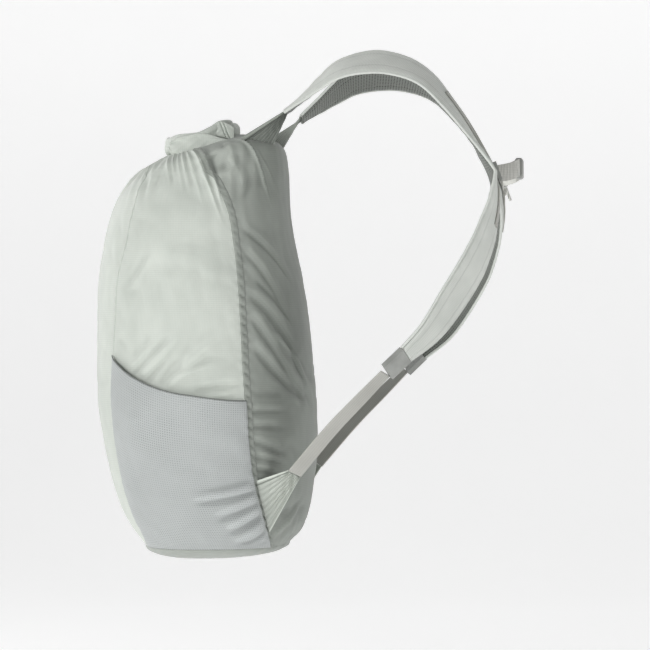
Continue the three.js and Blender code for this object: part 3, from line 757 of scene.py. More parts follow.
    def raised(self, angle: Array, level: Array, lift: Number) -> Array:
        """Points over the form.

        Args:
            angle: section angles.
            level: levels.
            lift: metres out of the form.

        Returns:
            Array: the points.
        """
        angle, level = np.broadcast_arrays(np.asarray(angle, float), np.asarray(level, float))
        lift = np.broadcast_to(lift, angle.shape)[..., None]
        return self.smooth(angle, level) + self.facing(angle, level) * lift


@dataclass
class Settling:
    """Wrinkles that a short cloth simulation adds between the seams of the bag."""

    columns: int = 150
    rows: int = 86
    frames: int = 20
    limit: float = 2.6 * MM
    mass: float = 0.2
    stretch: float = 15.0
    shear: float = 5.0
    bending: float = 0.4
    shrink: float = -0.04
    pressure: float = 4.0
    held_above: float = 0.97
    held_below: float = 0.06
    held_reach: float = 0.005
    coarse: int = 5
    kept: float = 0.26
    kept_low: float = 0.16
    kept_behind: float = 0.14

    def __post_init__(self) -> None:
        """Start with no wrinkles."""
        self.rise = np.zeros((self.rows, self.columns))

    def held(self, angle: Array, level: Array) -> Array:
        """How firmly each place is held.

        Args:
            angle: section angles.
            level: levels.

        Returns:
            Array: 1 on the seams, the mouth and the base, less away from them.
        """
        away = np.minimum(angle, 360 - angle)
        low = 1 - ramp(level, SEAM_LEVEL, self.held_below)
        firm = np.maximum(ramp(level, self.held_above, 1.0), low)
        for column in ("front_seam", "rear_seam"):
            gap = (away - SECTIONS.at(column, level)) * PER_DEGREE
            firm = np.maximum(firm, np.exp(-((gap / self.held_reach) ** 2)))
        return firm

    def run(self, form: Form, relief: "Relief") -> None:
        """Settle the cloth from its folded form and keep the fine part of its movement.

        Args:
            form: the smooth form.
            relief: the folds that the cloth starts with.
        """
        angle, level = np.meshgrid(
            np.arange(self.columns) * 360 / self.columns, np.linspace(SEAM_LEVEL, 1, self.rows)
        )
        start = form.raised(angle, level, relief.at(angle, level))
        cloth = self.sheet(start, self.held(angle, level))
        scene = bpy.context.scene
        for step in range(1, self.frames + 1):
            scene.frame_set(step)
        settled = cloth.evaluated_get(bpy.context.evaluated_depsgraph_get())
        points = np.zeros(start.size)
        settled.to_mesh().vertices.foreach_get("co", points)
        settled.to_mesh_clear()
        # Only the movement out of the form counts, less its mean over the cells around.
        moved = ((points.reshape(start.shape) - start) * form.facing(angle, level)).sum(-1)
        log.info("settled cloth: moved %.1f mm at most", 1000 * np.abs(moved).max())
        thrice = np.hstack((moved, moved, moved))
        moved -= around(thrice, self.coarse)[:, self.columns : 2 * self.columns]
        away = np.minimum(angle, 360 - angle)
        behind = ramp((away - SECTIONS.at("rear_seam", level)) * PER_DEGREE, 0, 0.01)
        low = 1 - ramp(level, 0.5, 0.7)
        share = self.kept + self.kept_low * low * ramp(away, 45, 60) + self.kept_behind * behind
        self.rise = self.limit * np.tanh(moved / self.limit) * share
        log.info("settled cloth: kept %.2f mm on average", 1000 * np.abs(self.rise).mean())
        mesh = cloth.data
        bpy.data.objects.remove(cloth, do_unlink=True)
        bpy.data.meshes.remove(mesh)
        scene.frame_set(1)

    def sheet(self, start: Array, firm: Array) -> bpy.types.Object:
        """Make the sheet of cloth that settles.

        Args:
            start: its points, in rows around the bag.
            firm: how firmly each point is held.

        Returns:
            Object: the sheet with its simulation.
        """
        mesh = bpy.data.meshes.new("settling")
        mesh.from_pydata(start.reshape(-1, 3).tolist(), [], Patch(start, wrap=True).faces(0))
        cloth = bpy.data.objects.new("settling", mesh)
        bpy.context.scene.collection.objects.link(cloth)
        group = cloth.vertex_groups.new(name="held")
        for i, weight in enumerate(firm.ravel()):
            group.add([i], float(weight), "REPLACE")
        modifier = cloth.modifiers.new("settling", "CLOTH")
        settings = modifier.settings
        settings.vertex_group_mass = group.name
        settings.quality, settings.mass = 5, self.mass
        settings.tension_stiffness = settings.compression_stiffness = self.stretch
        settings.shear_stiffness, settings.bending_stiffness = self.shear, self.bending
        settings.shrink_min = self.shrink
        settings.use_pressure, settings.uniform_pressure_force = True, self.pressure
        settings.effector_weights.gravity = 0
        modifier.collision_settings.use_collision = False
        modifier.point_cache.frame_start, modifier.point_cache.frame_end = 1, self.frames
        return cloth

    def at(self, angle: Array, level: Array) -> Array:
        """Height of the wrinkles.

        Args:
            angle: section angles.
            level: levels.

        Returns:
            Array: metres.
        """
        x = angle * self.columns / 360
        y = (level - SEAM_LEVEL) / (1 - SEAM_LEVEL) * (self.rows - 1)
        total = 0.0
        for a in range(-1, 3):
            for b in range(-1, 3):
                i, j = np.floor(x) + a, np.floor(y) + b
                column = i.astype(int) % self.columns
                row = np.clip(j.astype(int), 0, self.rows - 1)
                total = total + self.rise[row, column] * spline(x - i) * spline(y - j)
        return total


@dataclass
class Relief:
    """Folds, gathers and puckers of the cloth, in metres over the smooth form."""

    form: Form
    settling: Settling = field(default_factory=Settling)
    broad_height: float = 0.7 * MM
    fine_height: float = 0.22 * MM
    front_pull: float = 0.2 * MM
    front_reach: float = 0.005
    rear_pull: float = 0.6 * MM
    rear_reach: float = 0.0065
    fan_height: float = 0.5 * MM
    fan_start: float = 0.86
    rim_run: float = 0.01
    foot_run: float = 0.02

    def __post_init__(self) -> None:
        """Lay the folds and draw the seeded ripples."""
        self.lines: list[tuple[Array, Array, Array, Array]] = []
        for row in CREASES.rows:
            ends = np.array([row[0], row[2]]), np.array([row[1], row[3]])
            start, end = self.form.smooth(*ends)
            out = unit(self.form.facing(*ends).sum(0))
            self.lines.append((start, end, out, row[4:]))
        self.broad = Ripple(3, (0.05, 0.14), 20, 60)
        self.fine = Ripple(8, (0.014, 0.04), 35, 35)
        self.pucker = Ripple(5, (0.006, 0.012), 90, 12)

    def creases(self, place: Array, facing: Array) -> Array:
        """Height of the listed folds.

        Args:
            place: points of the smooth form, on the right side.
            facing: its outward directions there.

        Returns:
            Array: metres.
        """
        total = np.zeros(place.shape[:-1])
        for start, end, out, (height, width, bend, sharp) in self.lines:
            run = end - start
            size = float(np.linalg.norm(run))
            across = unit(np.cross(run, out))
            along = (place - start) @ run / size**2
            side = (place - start) @ across + bend * MM * np.sin(np.pi * np.clip(along, 0, 1))
            # Beside the fold runs a shallow one of the other sign. Both are rounded or creased.
            d = side / (width * MM)
            soft = np.exp(-(d**2)) - 0.45 * np.exp(-((d + 1.7) ** 2))
            crease = np.exp(-np.abs(d) * 1.6) - 0.3 * np.exp(-((d + 1.9) ** 2))
            fade = ramp(along, -0.12, 0.1) * (1 - ramp(along, 0.5, 1.15)) * (facing @ out > 0.3)
            total += height * MM * blend(soft, crease, sharp) * fade
        return total

    def at(self, angle: Array, level: Array) -> Array:
        """Height of the cloth over the smooth form.

        Args:
            angle: section angles.
            level: levels.

        Returns:
            Array: metres.
        """
        turn = angle % 360
        away = np.minimum(turn, 360 - turn)
        side = np.where(turn > 180, 1.0, 0.0)
        u, v = away * PER_DEGREE + side * 0.4, level * BAG_HEIGHT
        rise = self.creases(self.form.smooth(away, level), self.form.facing(away, level))
        rise += self.broad_height * self.broad.at(u, v) + self.fine_height * self.fine.at(u, v)
        rise += self.settling.at(turn, level)
        seams = (
            ("front_seam", self.front_pull, self.front_reach),
            ("rear_seam", self.rear_pull, self.rear_reach),
        )
        for column, height, reach in seams:
            gap = (away - SECTIONS.at(column, level)) * PER_DEGREE
            slant = np.sin((v + 0.5 * gap) * 2 * np.pi / PUCKER_LENGTH + 1.2 * np.sin(v * 60))
            pull = slant * 0.7 + 0.5 * self.pucker.at(gap, v)
            rise += height * np.exp(-((gap / reach) ** 2)) * pull
        # Gathers that fan out below the roll.
        crown = np.clip((level - self.fan_start) / (1 - self.fan_start), 0, 1)
        fan = np.sin(away * 0.62 + 1.3 * np.sin(away * 0.11) + side * 2)
        rise += self.fan_height * fan * crown * (1 - crown) * 4 * np.abs(np.sin(np.radians(away)))
        rim = 1 - ramp(level, 1 - self.rim_run, 1)
        foot = ramp(level, SEAM_LEVEL, SEAM_LEVEL + self.foot_run)
        return rise * rim * foot


class Wire:
    """Output of a shader node that takes part in sums."""

    def __init__(self, tree: "Shader", socket: bpy.types.NodeSocket) -> None:
        """Hold an output socket.

        Args:
            tree: the shader that it belongs to.
            socket: the socket.
        """
        self.tree = tree
        self.socket = socket

    @property
    def vector(self) -> bool:
        """Whether the socket carries a vector or a colour."""
        return self.socket.type in ("VECTOR", "RGBA")

    def maths(self, operation: str, *others: Union["Wire", float, Sequence[float]]) -> "Wire":
        """Join this wire with others in one sum.

        Args:
            operation: name of the operation.
            others: wires or numbers.

        Returns:
            Wire: the result.
        """
        vector = self.vector or any(isinstance(o, Wire) and o.vector for o in others)
        kind = "ShaderNodeVectorMath" if vector else "ShaderNodeMath"
        return self.tree.node(kind, {"operation": operation}, self, *others)

    def __add__(self, other: Union["Wire", float]) -> "Wire":
        """Sum with another."""
        return self.maths("ADD", other)

    def __radd__(self, other: float) -> "Wire":
        """Sum with a number before it."""
        return self.maths("ADD", other)

    def __sub__(self, other: Union["Wire", float]) -> "Wire":
        """Difference from another."""
        return self.maths("SUBTRACT", other)

    def __rsub__(self, other: float) -> "Wire":
        """Number less this wire."""
        return self.tree.node("ShaderNodeMath", {"operation": "SUBTRACT"}, other, self)

    def __mul__(self, other: Union["Wire", float]) -> "Wire":
        """Product with another."""
        return self.maths("MULTIPLY", other)

    def __rmul__(self, other: float) -> "Wire":
        """Product with a number before it."""
        return self.maths("MULTIPLY", other)

    def between(self, low: float, high: float) -> "Wire":
        """Smooth step from 0 at low to 1 at high.

        Args:
            low: where it begins.
            high: where it ends.

        Returns:
            Wire: the share.
        """
        return self.tree.node(
            "ShaderNodeMapRange",
            {"interpolation_type": "SMOOTHSTEP"},
            **{"Value": self, "From Min": low, "From Max": high},
        )

    def mix(self, a: Union["Wire", Sequence[float]], b: Union["Wire", Sequence[float]]) -> "Wire":
        """Colour between two others by this wire.

        Args:
            a: colour at 0.
            b: colour at 1.

        Returns:
            Wire: the mixed colour.
        """
        return self.tree.node(
            "ShaderNodeMix", {"data_type": "RGBA"}, out=2, **{"0": self, "6": a, "7": b}
        )


class Shader:
    """Node tree of one material, with a Principled surface."""

    # Colour factors of the painted highlight on ridges and the painted shade in folds.
    RIDGE = (1.5, 1.5, 1.5)
    HOLLOW = (0.42, 0.43, 0.42)

    def __init__(self, name: str) -> None:
        """Make the material.

        Args:
            name: the material's name.
        """
        self.material = bpy.data.materials.new(name)
        self.material.use_nodes = True
        self.tree = self.material.node_tree
        self.surface = self.tree.nodes["Principled BSDF"]

    def node(
        self,
        kind: str,
        settings: Optional[dict[str, object]] = None,
        *values: object,
        out: int = 0,
        **named: object,
    ) -> Wire:
        """Add a node, set its options first, then its inputs.

        Args:
            kind: type of the node.
            settings: its options.
            values: inputs in order.
            out: index of the output to return.
            named: inputs by name or by index.

        Returns:
            Wire: the output.
        """
        made = self.tree.nodes.new(kind)
        for key, value in (settings or {}).items():
            setattr(made, key, value)
        for key, value in (*enumerate(values), *named.items()):
            digits = isinstance(key, str) and key.isdigit()
            self.feed(made.inputs[int(key) if digits else key], value)
        return Wire(self, made.outputs[out])

    def feed(self, socket: bpy.types.NodeSocket, value: object) -> None:
        """Link or set one input.

        Args:
            socket: the input.
            value: a wire, a number or a colour.
        """
        if isinstance(value, Wire):
            self.tree.links.new(value.socket, socket)
        elif socket.type == "RGBA" and not isinstance(value, float):
            socket.default_value = (*value, 1.0)[:4]
        elif socket.type == "VECTOR" and isinstance(value, (int, float)):
            socket.default_value = (value,) * 3
        else:
            socket.default_value = value

    def set(self, **values: object) -> None:
        """Set or link inputs of the surface.

        Args:
            values: inputs by name, with underscores for spaces.
        """
        for key, value in values.items():
            self.feed(self.surface.inputs[key.replace("_", " ")], value)

    def weave(self, solid: bool = False) -> tuple[Wire, Wire]:
        """Place over the cloth in metres.

        Args:
            solid: whether it is read from the object's coordinates, for a band across the chest.

        Returns:
            tuple: distance across and along.
        """
        if solid:
            x = self.node("ShaderNodeSeparateXYZ", None, self.node("ShaderNodeTexCoord", out=3))
            outputs = x.socket.node.outputs
            return Wire(self, outputs[2]), x + Wire(self, outputs[1]) * 0.8
        uv = self.node("ShaderNodeUVMap", {"uv_map": "weave"})
        parts = self.node("ShaderNodeSeparateXYZ", None, uv)
        return parts, Wire(self, parts.socket.node.outputs[1])

    def noise(self, scale: float, detail: float = 2.0, stretch: Sequence[float] = (1, 1, 1)) -> Wire:
        """Noise over the object's own coordinates.

        Args:
            scale: waves in a metre.
            detail: octaves.
            stretch: share of the scale on each axis.

        Returns:
            Wire: values from 0 to 1.
        """
        place = self.node("ShaderNodeTexCoord", out=3)
        place = place.maths("MULTIPLY", tuple(stretch))
        return self.node("ShaderNodeTexNoise", None, Vector=place, Scale=scale, Detail=detail)

    def wave(self, place: Wire, period: float) -> Wire:
        """Even wave along a coordinate.

        Args:
            place: the coordinate in metres.
            period: length of a wave in metres.

        Returns:
            Wire: values from 0 to 1.
        """
        return (place * (2 * math.pi / period)).maths("SINE") * 0.5 + 0.5

    def folded(self, base: Wire, amount: float) -> Wire:
        """Colour with painted shade that darkens the folds and painted highlight that lightens their
        ridges.

        Args:
            base: the colour.
            amount: share of the painted shade in a deep fold.

        Returns:
            Wire: the colour.
        """
        # The fold attribute holds painted shade where positive and painted highlight where negative.
        fold = self.node("ShaderNodeAttribute", {"attribute_name": "fold"}, out=2)
        ridge = (fold * (-2.5 * amount)).between(0.4, 2.0)
        base = ridge.mix(base, base.maths("MULTIPLY", self.RIDGE))
        share = (fold * amount).between(0.0, 1.0)
        return share.mix(base, base.maths("MULTIPLY", self.HOLLOW))

    def bump(
        self, height: Wire, distance: float, strength: float = 1.0, under: Optional[Wire] = None
    ) -> Wire:
        """Normal from a height.

        Args:
            height: values from 0 to 1.
            distance: metres between them.
            strength: share of the effect.
            under: normal to build on.

        Returns:
            Wire: the normal.
        """
        values = {"Height": height, "Distance": distance, "Strength": strength}
        if under is not None:
            values["Normal"] = under
        return self.node("ShaderNodeBump", None, **values)


def linear(value: int) -> float:
    """Scene value of one display value.

    Args:
        value: the display value, 0 to 255.

    Returns:
        float: the linear value.
    """
    share = value / 255
    return share / 12.92 if share <= 0.04045 else ((share + 0.055) / 1.055) ** 2.4


def tone(r: int, g: int, b: int) -> tuple[float, float, float]:
    """Scene colour from display values.

    Args:
        r: red, 0 to 255.
        g: green.
        b: blue.

    Returns:
        tuple: the three linear values.
    """
    return linear(r), linear(g), linear(b)


@dataclass(frozen=True)
class Finish:
    """Look of one kind of surface."""

    name: str
    light: tuple[float, float, float]
    dark: tuple[float, float, float]
    rough: float = 0.6

    def make(self) -> bpy.types.Material:
        """Build the material.

        Returns:
            Material: the finished material.
        """
        raise NotImplementedError


@dataclass(frozen=True)
class Ripstop(Finish):
    """Thin coated cloth with fine level ribs, darkened by a painted shadow from one place along X to
    another.
    """

    rib: float = 1.7 * MM
    # The painted shadow darkens the cloth by its tint over its span along X; fold is the share of
    # painted shade in a deep fold.
    dim: tuple[float, ...] = ()
    fold: float = 0.4
    dimmed: tuple[float, float, float] = (0.62, 0.63, 0.62)

    def make(self) -> bpy.types.Material:
        """Build the cloth.

        Returns:
            Material: the finished material.
        """
        s = Shader(self.name)
        u, v = s.weave()
        ribs = s.wave(v, self.rib)
        yarns = s.wave(u, self.rib * 0.82)
        cloud = s.noise(9, 3)
        fine = s.noise(60, 3, (1, 1, 0.5))
        shade = cloud * 0.5 + fine * 0.34 + ribs * 0.09 + yarns * 0.07
        base = shade.between(0.25, 0.8).mix(self.dark, self.light)
        # Painted shadow: the cloth darkens along +X, towards the wearer.
        if self.dim:
            place = s.node("ShaderNodeSeparateXYZ", None, s.node("ShaderNodeTexCoord", out=3))
            base = place.between(*self.dim).mix(base, base.maths("MULTIPLY", self.dimmed))
        # Painted shade and highlight of the folds.
        s.set(Base_Color=s.folded(base, self.fold))
        s.set(Roughness=cloud * 0.12 + (self.rough - 0.06))
        s.set(Specular_IOR_Level=0.35, Sheen_Weight=0.12, Sheen_Roughness=0.5)
        crinkle = s.bump(fine, 0.5 * MM, 0.5)
        s.set(Normal=s.bump(ribs * 0.6 + yarns * 0.4, 0.05 * MM, 0.7, crinkle))
        return s.material


@dataclass(frozen=True)
class Knit(Finish):
    """Stretch mesh with a small square grid of holes."""

    pitch: float = 2.1 * MM
    hole: float = 0.62

    def make(self) -> bpy.types.Material:
        """Build the knit.

        Returns:
            Material: the finished material.
        """
        s = Shader(self.name)
        u, v = s.weave()
        across, along = s.wave(u, self.pitch), s.wave(v, self.pitch)
        open_cell = (across * along).between(self.hole - 0.2, self.hole + 0.2)
        cloud = s.noise(14, 3)
        patch = s.noise(26, 2).between(0.3, 0.7)
        base = cloud.between(0.3, 0.7).mix(tuple(0.93 * c for c in self.light), self.light)
        base = (open_cell * (patch * 0.5 + 0.5)).mix(base, self.dark)
        # Painted shade and highlight of the folds.
        s.set(Base_Color=s.folded(base, 0.4))
        s.set(Roughness=self.rough, Specular_IOR_Level=0.25, Sheen_Weight=0.15)
        s.set(Normal=s.bump(1.0 - open_cell, 0.25 * MM, 0.8))
        return s.material


@dataclass(frozen=True)
class Woven(Finish):
    """Narrow webbing or tape with ribs across it."""

    rib: float = 1.1 * MM
    depth: float = 0.15 * MM
    solid: bool = False

    def make(self) -> bpy.types.Material:
        """Build the webbing.

        Returns:
            Material: the finished material.
        """
        s = Shader(self.name)
        u, v = s.weave(self.solid)
        ribs = s.wave(v, self.rib)
        yarns = s.wave(u, self.rib * 0.9)
        cloud = s.noise(30, 3)
        shade = ribs * 0.45 + yarns * (0.05 if self.solid else 0.15) + cloud * 0.55
        # Painted shade and highlight of the folds.
        s.set(Base_Color=s.folded(shade.between(0.3, 0.9).mix(self.dark, self.light), 0.6))
        s.set(Roughness=self.rough, Specular_IOR_Level=0.3, Sheen_Weight=0.2)
        s.set(Normal=s.bump(ribs * (0.6 + yarns * 0.4), self.depth, 0.8))
        return s.material


@dataclass(frozen=True)
class Spacer(Finish):
    """Padded strap: fine facing cloth above and open dark mesh below."""

    # The underside is a dark mesh, painted darker still as the shade it lies in.
    under: tuple[float, float, float] = (0.022, 0.025, 0.022)
    thread: tuple[float, float, float] = tone(126, 130, 124)
    pitch: float = 2.7 * MM

    def make(self) -> bpy.types.Material:
        """Build the padding's cover.

        Returns:
            Material: the finished material.
        """
        s = Shader(self.name)
        u, v = s.weave()
        face = s.node("ShaderNodeAttribute", {"attribute_name": "side"}, out=2)
        ribs, yarns = s.wave(v, 1.3 * MM), s.wave(u, 1.3 * MM)
        cloud = s.noise(40, 3)
        shade = ribs * 0.25 + yarns * 0.2 + cloud * 0.55
        top = shade.between(0.25, 0.8).mix(self.dark, self.light)
        holes = (s.wave(u, self.pitch) * s.wave(v, self.pitch)).between(0.35, 0.6)
        # The underside's threads and holes carry that painted shade.
        low = holes.mix(self.thread, self.under)
        # Painted shade and highlight of the folds on the top face.
        s.set(Base_Color=face.between(0.4, 0.6).mix(s.folded(top, 0.75), low))
        s.set(Roughness=self.rough, Specular_IOR_Level=0.25, Sheen_Weight=0.25)
        height = ribs * 0.5 + yarns * 0.5 - holes * face * 2.0
        s.set(Normal=s.bump(height, 0.2 * MM, 0.7))
        return s.material


@dataclass(frozen=True)
class Moulded(Finish):
    """Satin moulded plastic."""

    def make(self) -> bpy.types.Material:
        """Build the plastic.

        Returns:
            Material: the finished material.
        """
        s = Shader(self.name)
        grain = s.noise(900, 2)
        cloud = s.noise(35, 3)
        s.set(Base_Color=cloud.between(0.3, 0.7).mix(self.dark, self.light))
        s.set(Roughness=cloud * 0.15 + (self.rough - 0.07), Specular_IOR_Level=0.45)
        s.set(Normal=s.bump(grain, 0.03 * MM, 0.5))
        return s.material


class Wardrobe:
    """Materials of the backpack, made once."""

    FINISHES = {
        Slot.CLOTH: Ripstop(
            "light_cloth", tone(213, 218, 210), tone(189, 195, 187), 0.55, fold=0.3
        ),
        # The shaded cloth is the light cloth painted darker as shade, with a painted shadow towards
        # the wearer.
        Slot.SHADED: Ripstop(
            "shaded_cloth", tone(176, 181, 174), tone(150, 155, 148), 0.6, dim=(-0.13, -0.06)
        ),
        Slot.MESH: Knit("stretch_mesh", tone(184, 188, 187), tone(132, 136, 135), 0.8),
        Slot.TAPE: Woven("seam_tape", tone(174, 179, 172), tone(124, 129, 122), 0.75),
        Slot.PADDING: Spacer("strap_padding", tone(222, 225, 219), tone(194, 198, 192), 0.85),
        Slot.WEBBING: Woven(
            "webbing", tone(192, 192, 186), tone(164, 164, 158), 0.8, 1.2 * MM, 0.12 * MM
        ),
        Slot.PLASTIC: Moulded("fitting_plastic", tone(170, 172, 168), tone(140, 142, 138), 0.45),
    }
    VARIANTS = {
        # The elastic edge is darker than the mesh; its dark colour also paints the thin shadow along
        # it.
        Variant.EDGE: Woven("pocket_edge", tone(132, 136, 132), tone(100, 104, 100), 0.8),
        # The wing cloth is painted dark as shade, with deep painted shade in its folds.
        Variant.WING: Ripstop(
            "wing_cloth", tone(140, 145, 138), tone(112, 116, 110), 0.65, fold=0.95
        ),
        Variant.PIPING: Woven("strap_piping", tone(222, 225, 220), tone(196, 200, 194), 0.7),
        Variant.GUSSET: Ripstop(
            "gusset_cloth", tone(186, 191, 183), tone(156, 161, 153), 0.6, fold=0.6
        ),
        Variant.CHEST: Woven(
            "chest_webbing", tone(238, 238, 232), tone(164, 164, 158), 0.8, 2.4 * MM, 0.3 * MM, True
        ),
    }

    def __init__(self) -> None:
        """Make each finish."""
        looks = {**self.FINISHES, **self.VARIANTS}
        self.made = {key: finish.make() for key, finish in looks.items()}

    def dress(
        self, piece: bpy.types.Object, slot: Slot, variant: Optional[Variant] = None
    ) -> None:
        """Give a piece its material.

        Args:
            piece: the piece.
            slot: its slot of the record.
            variant: finish that takes the place of the slot's own.
        """
        piece.data.materials.clear()
        piece.data.materials.append(self.made[variant or slot])
        if "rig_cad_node" in piece:
            log.info("%s: kept solid, %s", piece.name, slot.value)


@dataclass(frozen=True)
class Patch:
    """Grid of points that becomes one surface of a piece."""

    grid: Array
    wrap: bool = False
    cap: bool = False
    flip: bool = False
    side: Optional[Array] = None
    # Painted shade at each point for the fold attribute, painted highlight where negative.
    fold: Optional[Array] = None

    def faces(self, first: int) -> list[list[int]]:
        """Faces of the surface.

        Args:
            first: index of its first point.

        Returns:
            list: the corners of each face.
        """
        rows, columns = self.grid.shape[:2]
        index = first + np.arange(rows * columns).reshape(rows, columns)
        wide = np.hstack((index, index[:, :1])) if self.wrap else index
        faces = self.quads(wide).tolist()
        if self.cap:
            turn = 1 if self.flip else -1
            faces += [index[0].tolist()[::turn], index[-1].tolist()[::-turn]]
        return faces

    def quads(self, index: Array) -> Array:
        """Corners of the four-sided faces over a grid of indices.

        Args:
            index: the grid of indices.

        Returns:
            Array: four indices for each face.
        """
        a, b, c, d = index[:-1, :-1], index[:-1, 1:], index[1:, 1:], index[1:, :-1]
        return np.stack((a, d, c, b) if self.flip else (a, b, c, d), -1).reshape(-1, 4)

    def weave(self) -> Array:
        """Places over the cloth for each corner.

        Returns:
            Array: distances across and along in metres.
        """
        uv = lengths(self.grid, self.wrap)
        index = np.arange(uv.shape[0] * uv.shape[1]).reshape(uv.shape[:2])
        corners = uv.reshape(-1, 2)[self.quads(index).ravel()]
        ends = np.zeros((2 * self.grid.shape[1], 2)) if self.cap else np.zeros((0, 2))
        return np.vstack((corners, ends))


class Loom:
    """Turns patches into pieces."""

    def __init__(self, wardrobe: Wardrobe) -> None:
        """Keep the materials.

        Args:
            wardrobe: the materials.
        """
        self.wardrobe = wardrobe

    def piece(
        self,
        name: str,
        patches: Sequence[Patch],
        slot: Slot,
        stands_for: Sequence[str],
        thick: float = 0.0,
    ) -> bpy.types.Object:
        """Make one piece.

        Args:
            name: the piece's name.
            patches: its surfaces.
            slot: its material slot.
            stands_for: CAD nodes that it replaces.
            thick: thickness that is added inward.

        Returns:
            Object: the piece.
        """
        faces: list[list[int]] = []
        first = 0
        for patch in patches:
            faces += patch.faces(first)
            first += patch.grid.shape[0] * patch.grid.shape[1]
        points = np.vstack([patch.grid.reshape(-1, 3) for patch in patches])
        mesh = bpy.data.meshes.new(name)
        mesh.from_pydata(points.tolist(), [], faces)
        layer = mesh.uv_layers.new(name="weave")
        layer.data.foreach_set("uv", np.vstack([patch.weave() for patch in patches]).ravel())
        # The fold attribute carries painted shade and highlight; side marks the underside.
        for key in ("side", "fold"):
            shades = [getattr(patch, key) for patch in patches]
            if shades[0] is not None:
                mark = mesh.attributes.new(key, "FLOAT", "POINT")
                values = np.concatenate([shade.ravel() for shade in shades])
                mark.data.foreach_set("value", values.astype(np.float32))
        mesh.polygons.foreach_set("use_smooth", [len(f) == 4 for f in faces])
        piece = bpy.data.objects.new(name, mesh)
        bpy.context.scene.collection.objects.link(piece)
        if thick:
            wall = piece.modifiers.new("thickness", "SOLIDIFY")
            wall.thickness, wall.offset = thick, -1
        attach(piece, "root")
        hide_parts(*stands_for)
        self.wardrobe.dress(piece, slot)
        log.info("%s: %d faces", name, len(faces))
        return piece


def lengths(grid: Array, wrap: bool = False) -> Array:
    """Distances over a grid of points, for the weave.

    Args:
        grid: rows and columns of points.
        wrap: whether the last column joins the first.

    Returns:
        Array: distance across and along for each point, with one more column where wrapped.
    """
    if wrap:
        grid = np.concatenate((grid, grid[:, :1]), 1)
    across = np.linalg.norm(np.diff(grid, axis=1), axis=-1)
    across = np.pad(np.cumsum(across, 1), ((0, 0), (1, 0)))
    across -= across[:, across.shape[1] // 2][:, None]
    along = np.linalg.norm(np.diff(grid, axis=0), axis=-1).mean(1)
    along = np.pad(np.cumsum(along), (1, 0))[:, None]
    return np.stack(np.broadcast_arrays(across, along), -1)


def mirror(grid: Array, side: Side) -> Array:
    """Points of the right side taken to a side.

    Args:
        grid: points of the right side.
        side: the wanted side.

    Returns:
        Array: the points.
    """
    return grid * np.array([1.0, -side.value, 1.0]) if side is Side.LEFT else grid


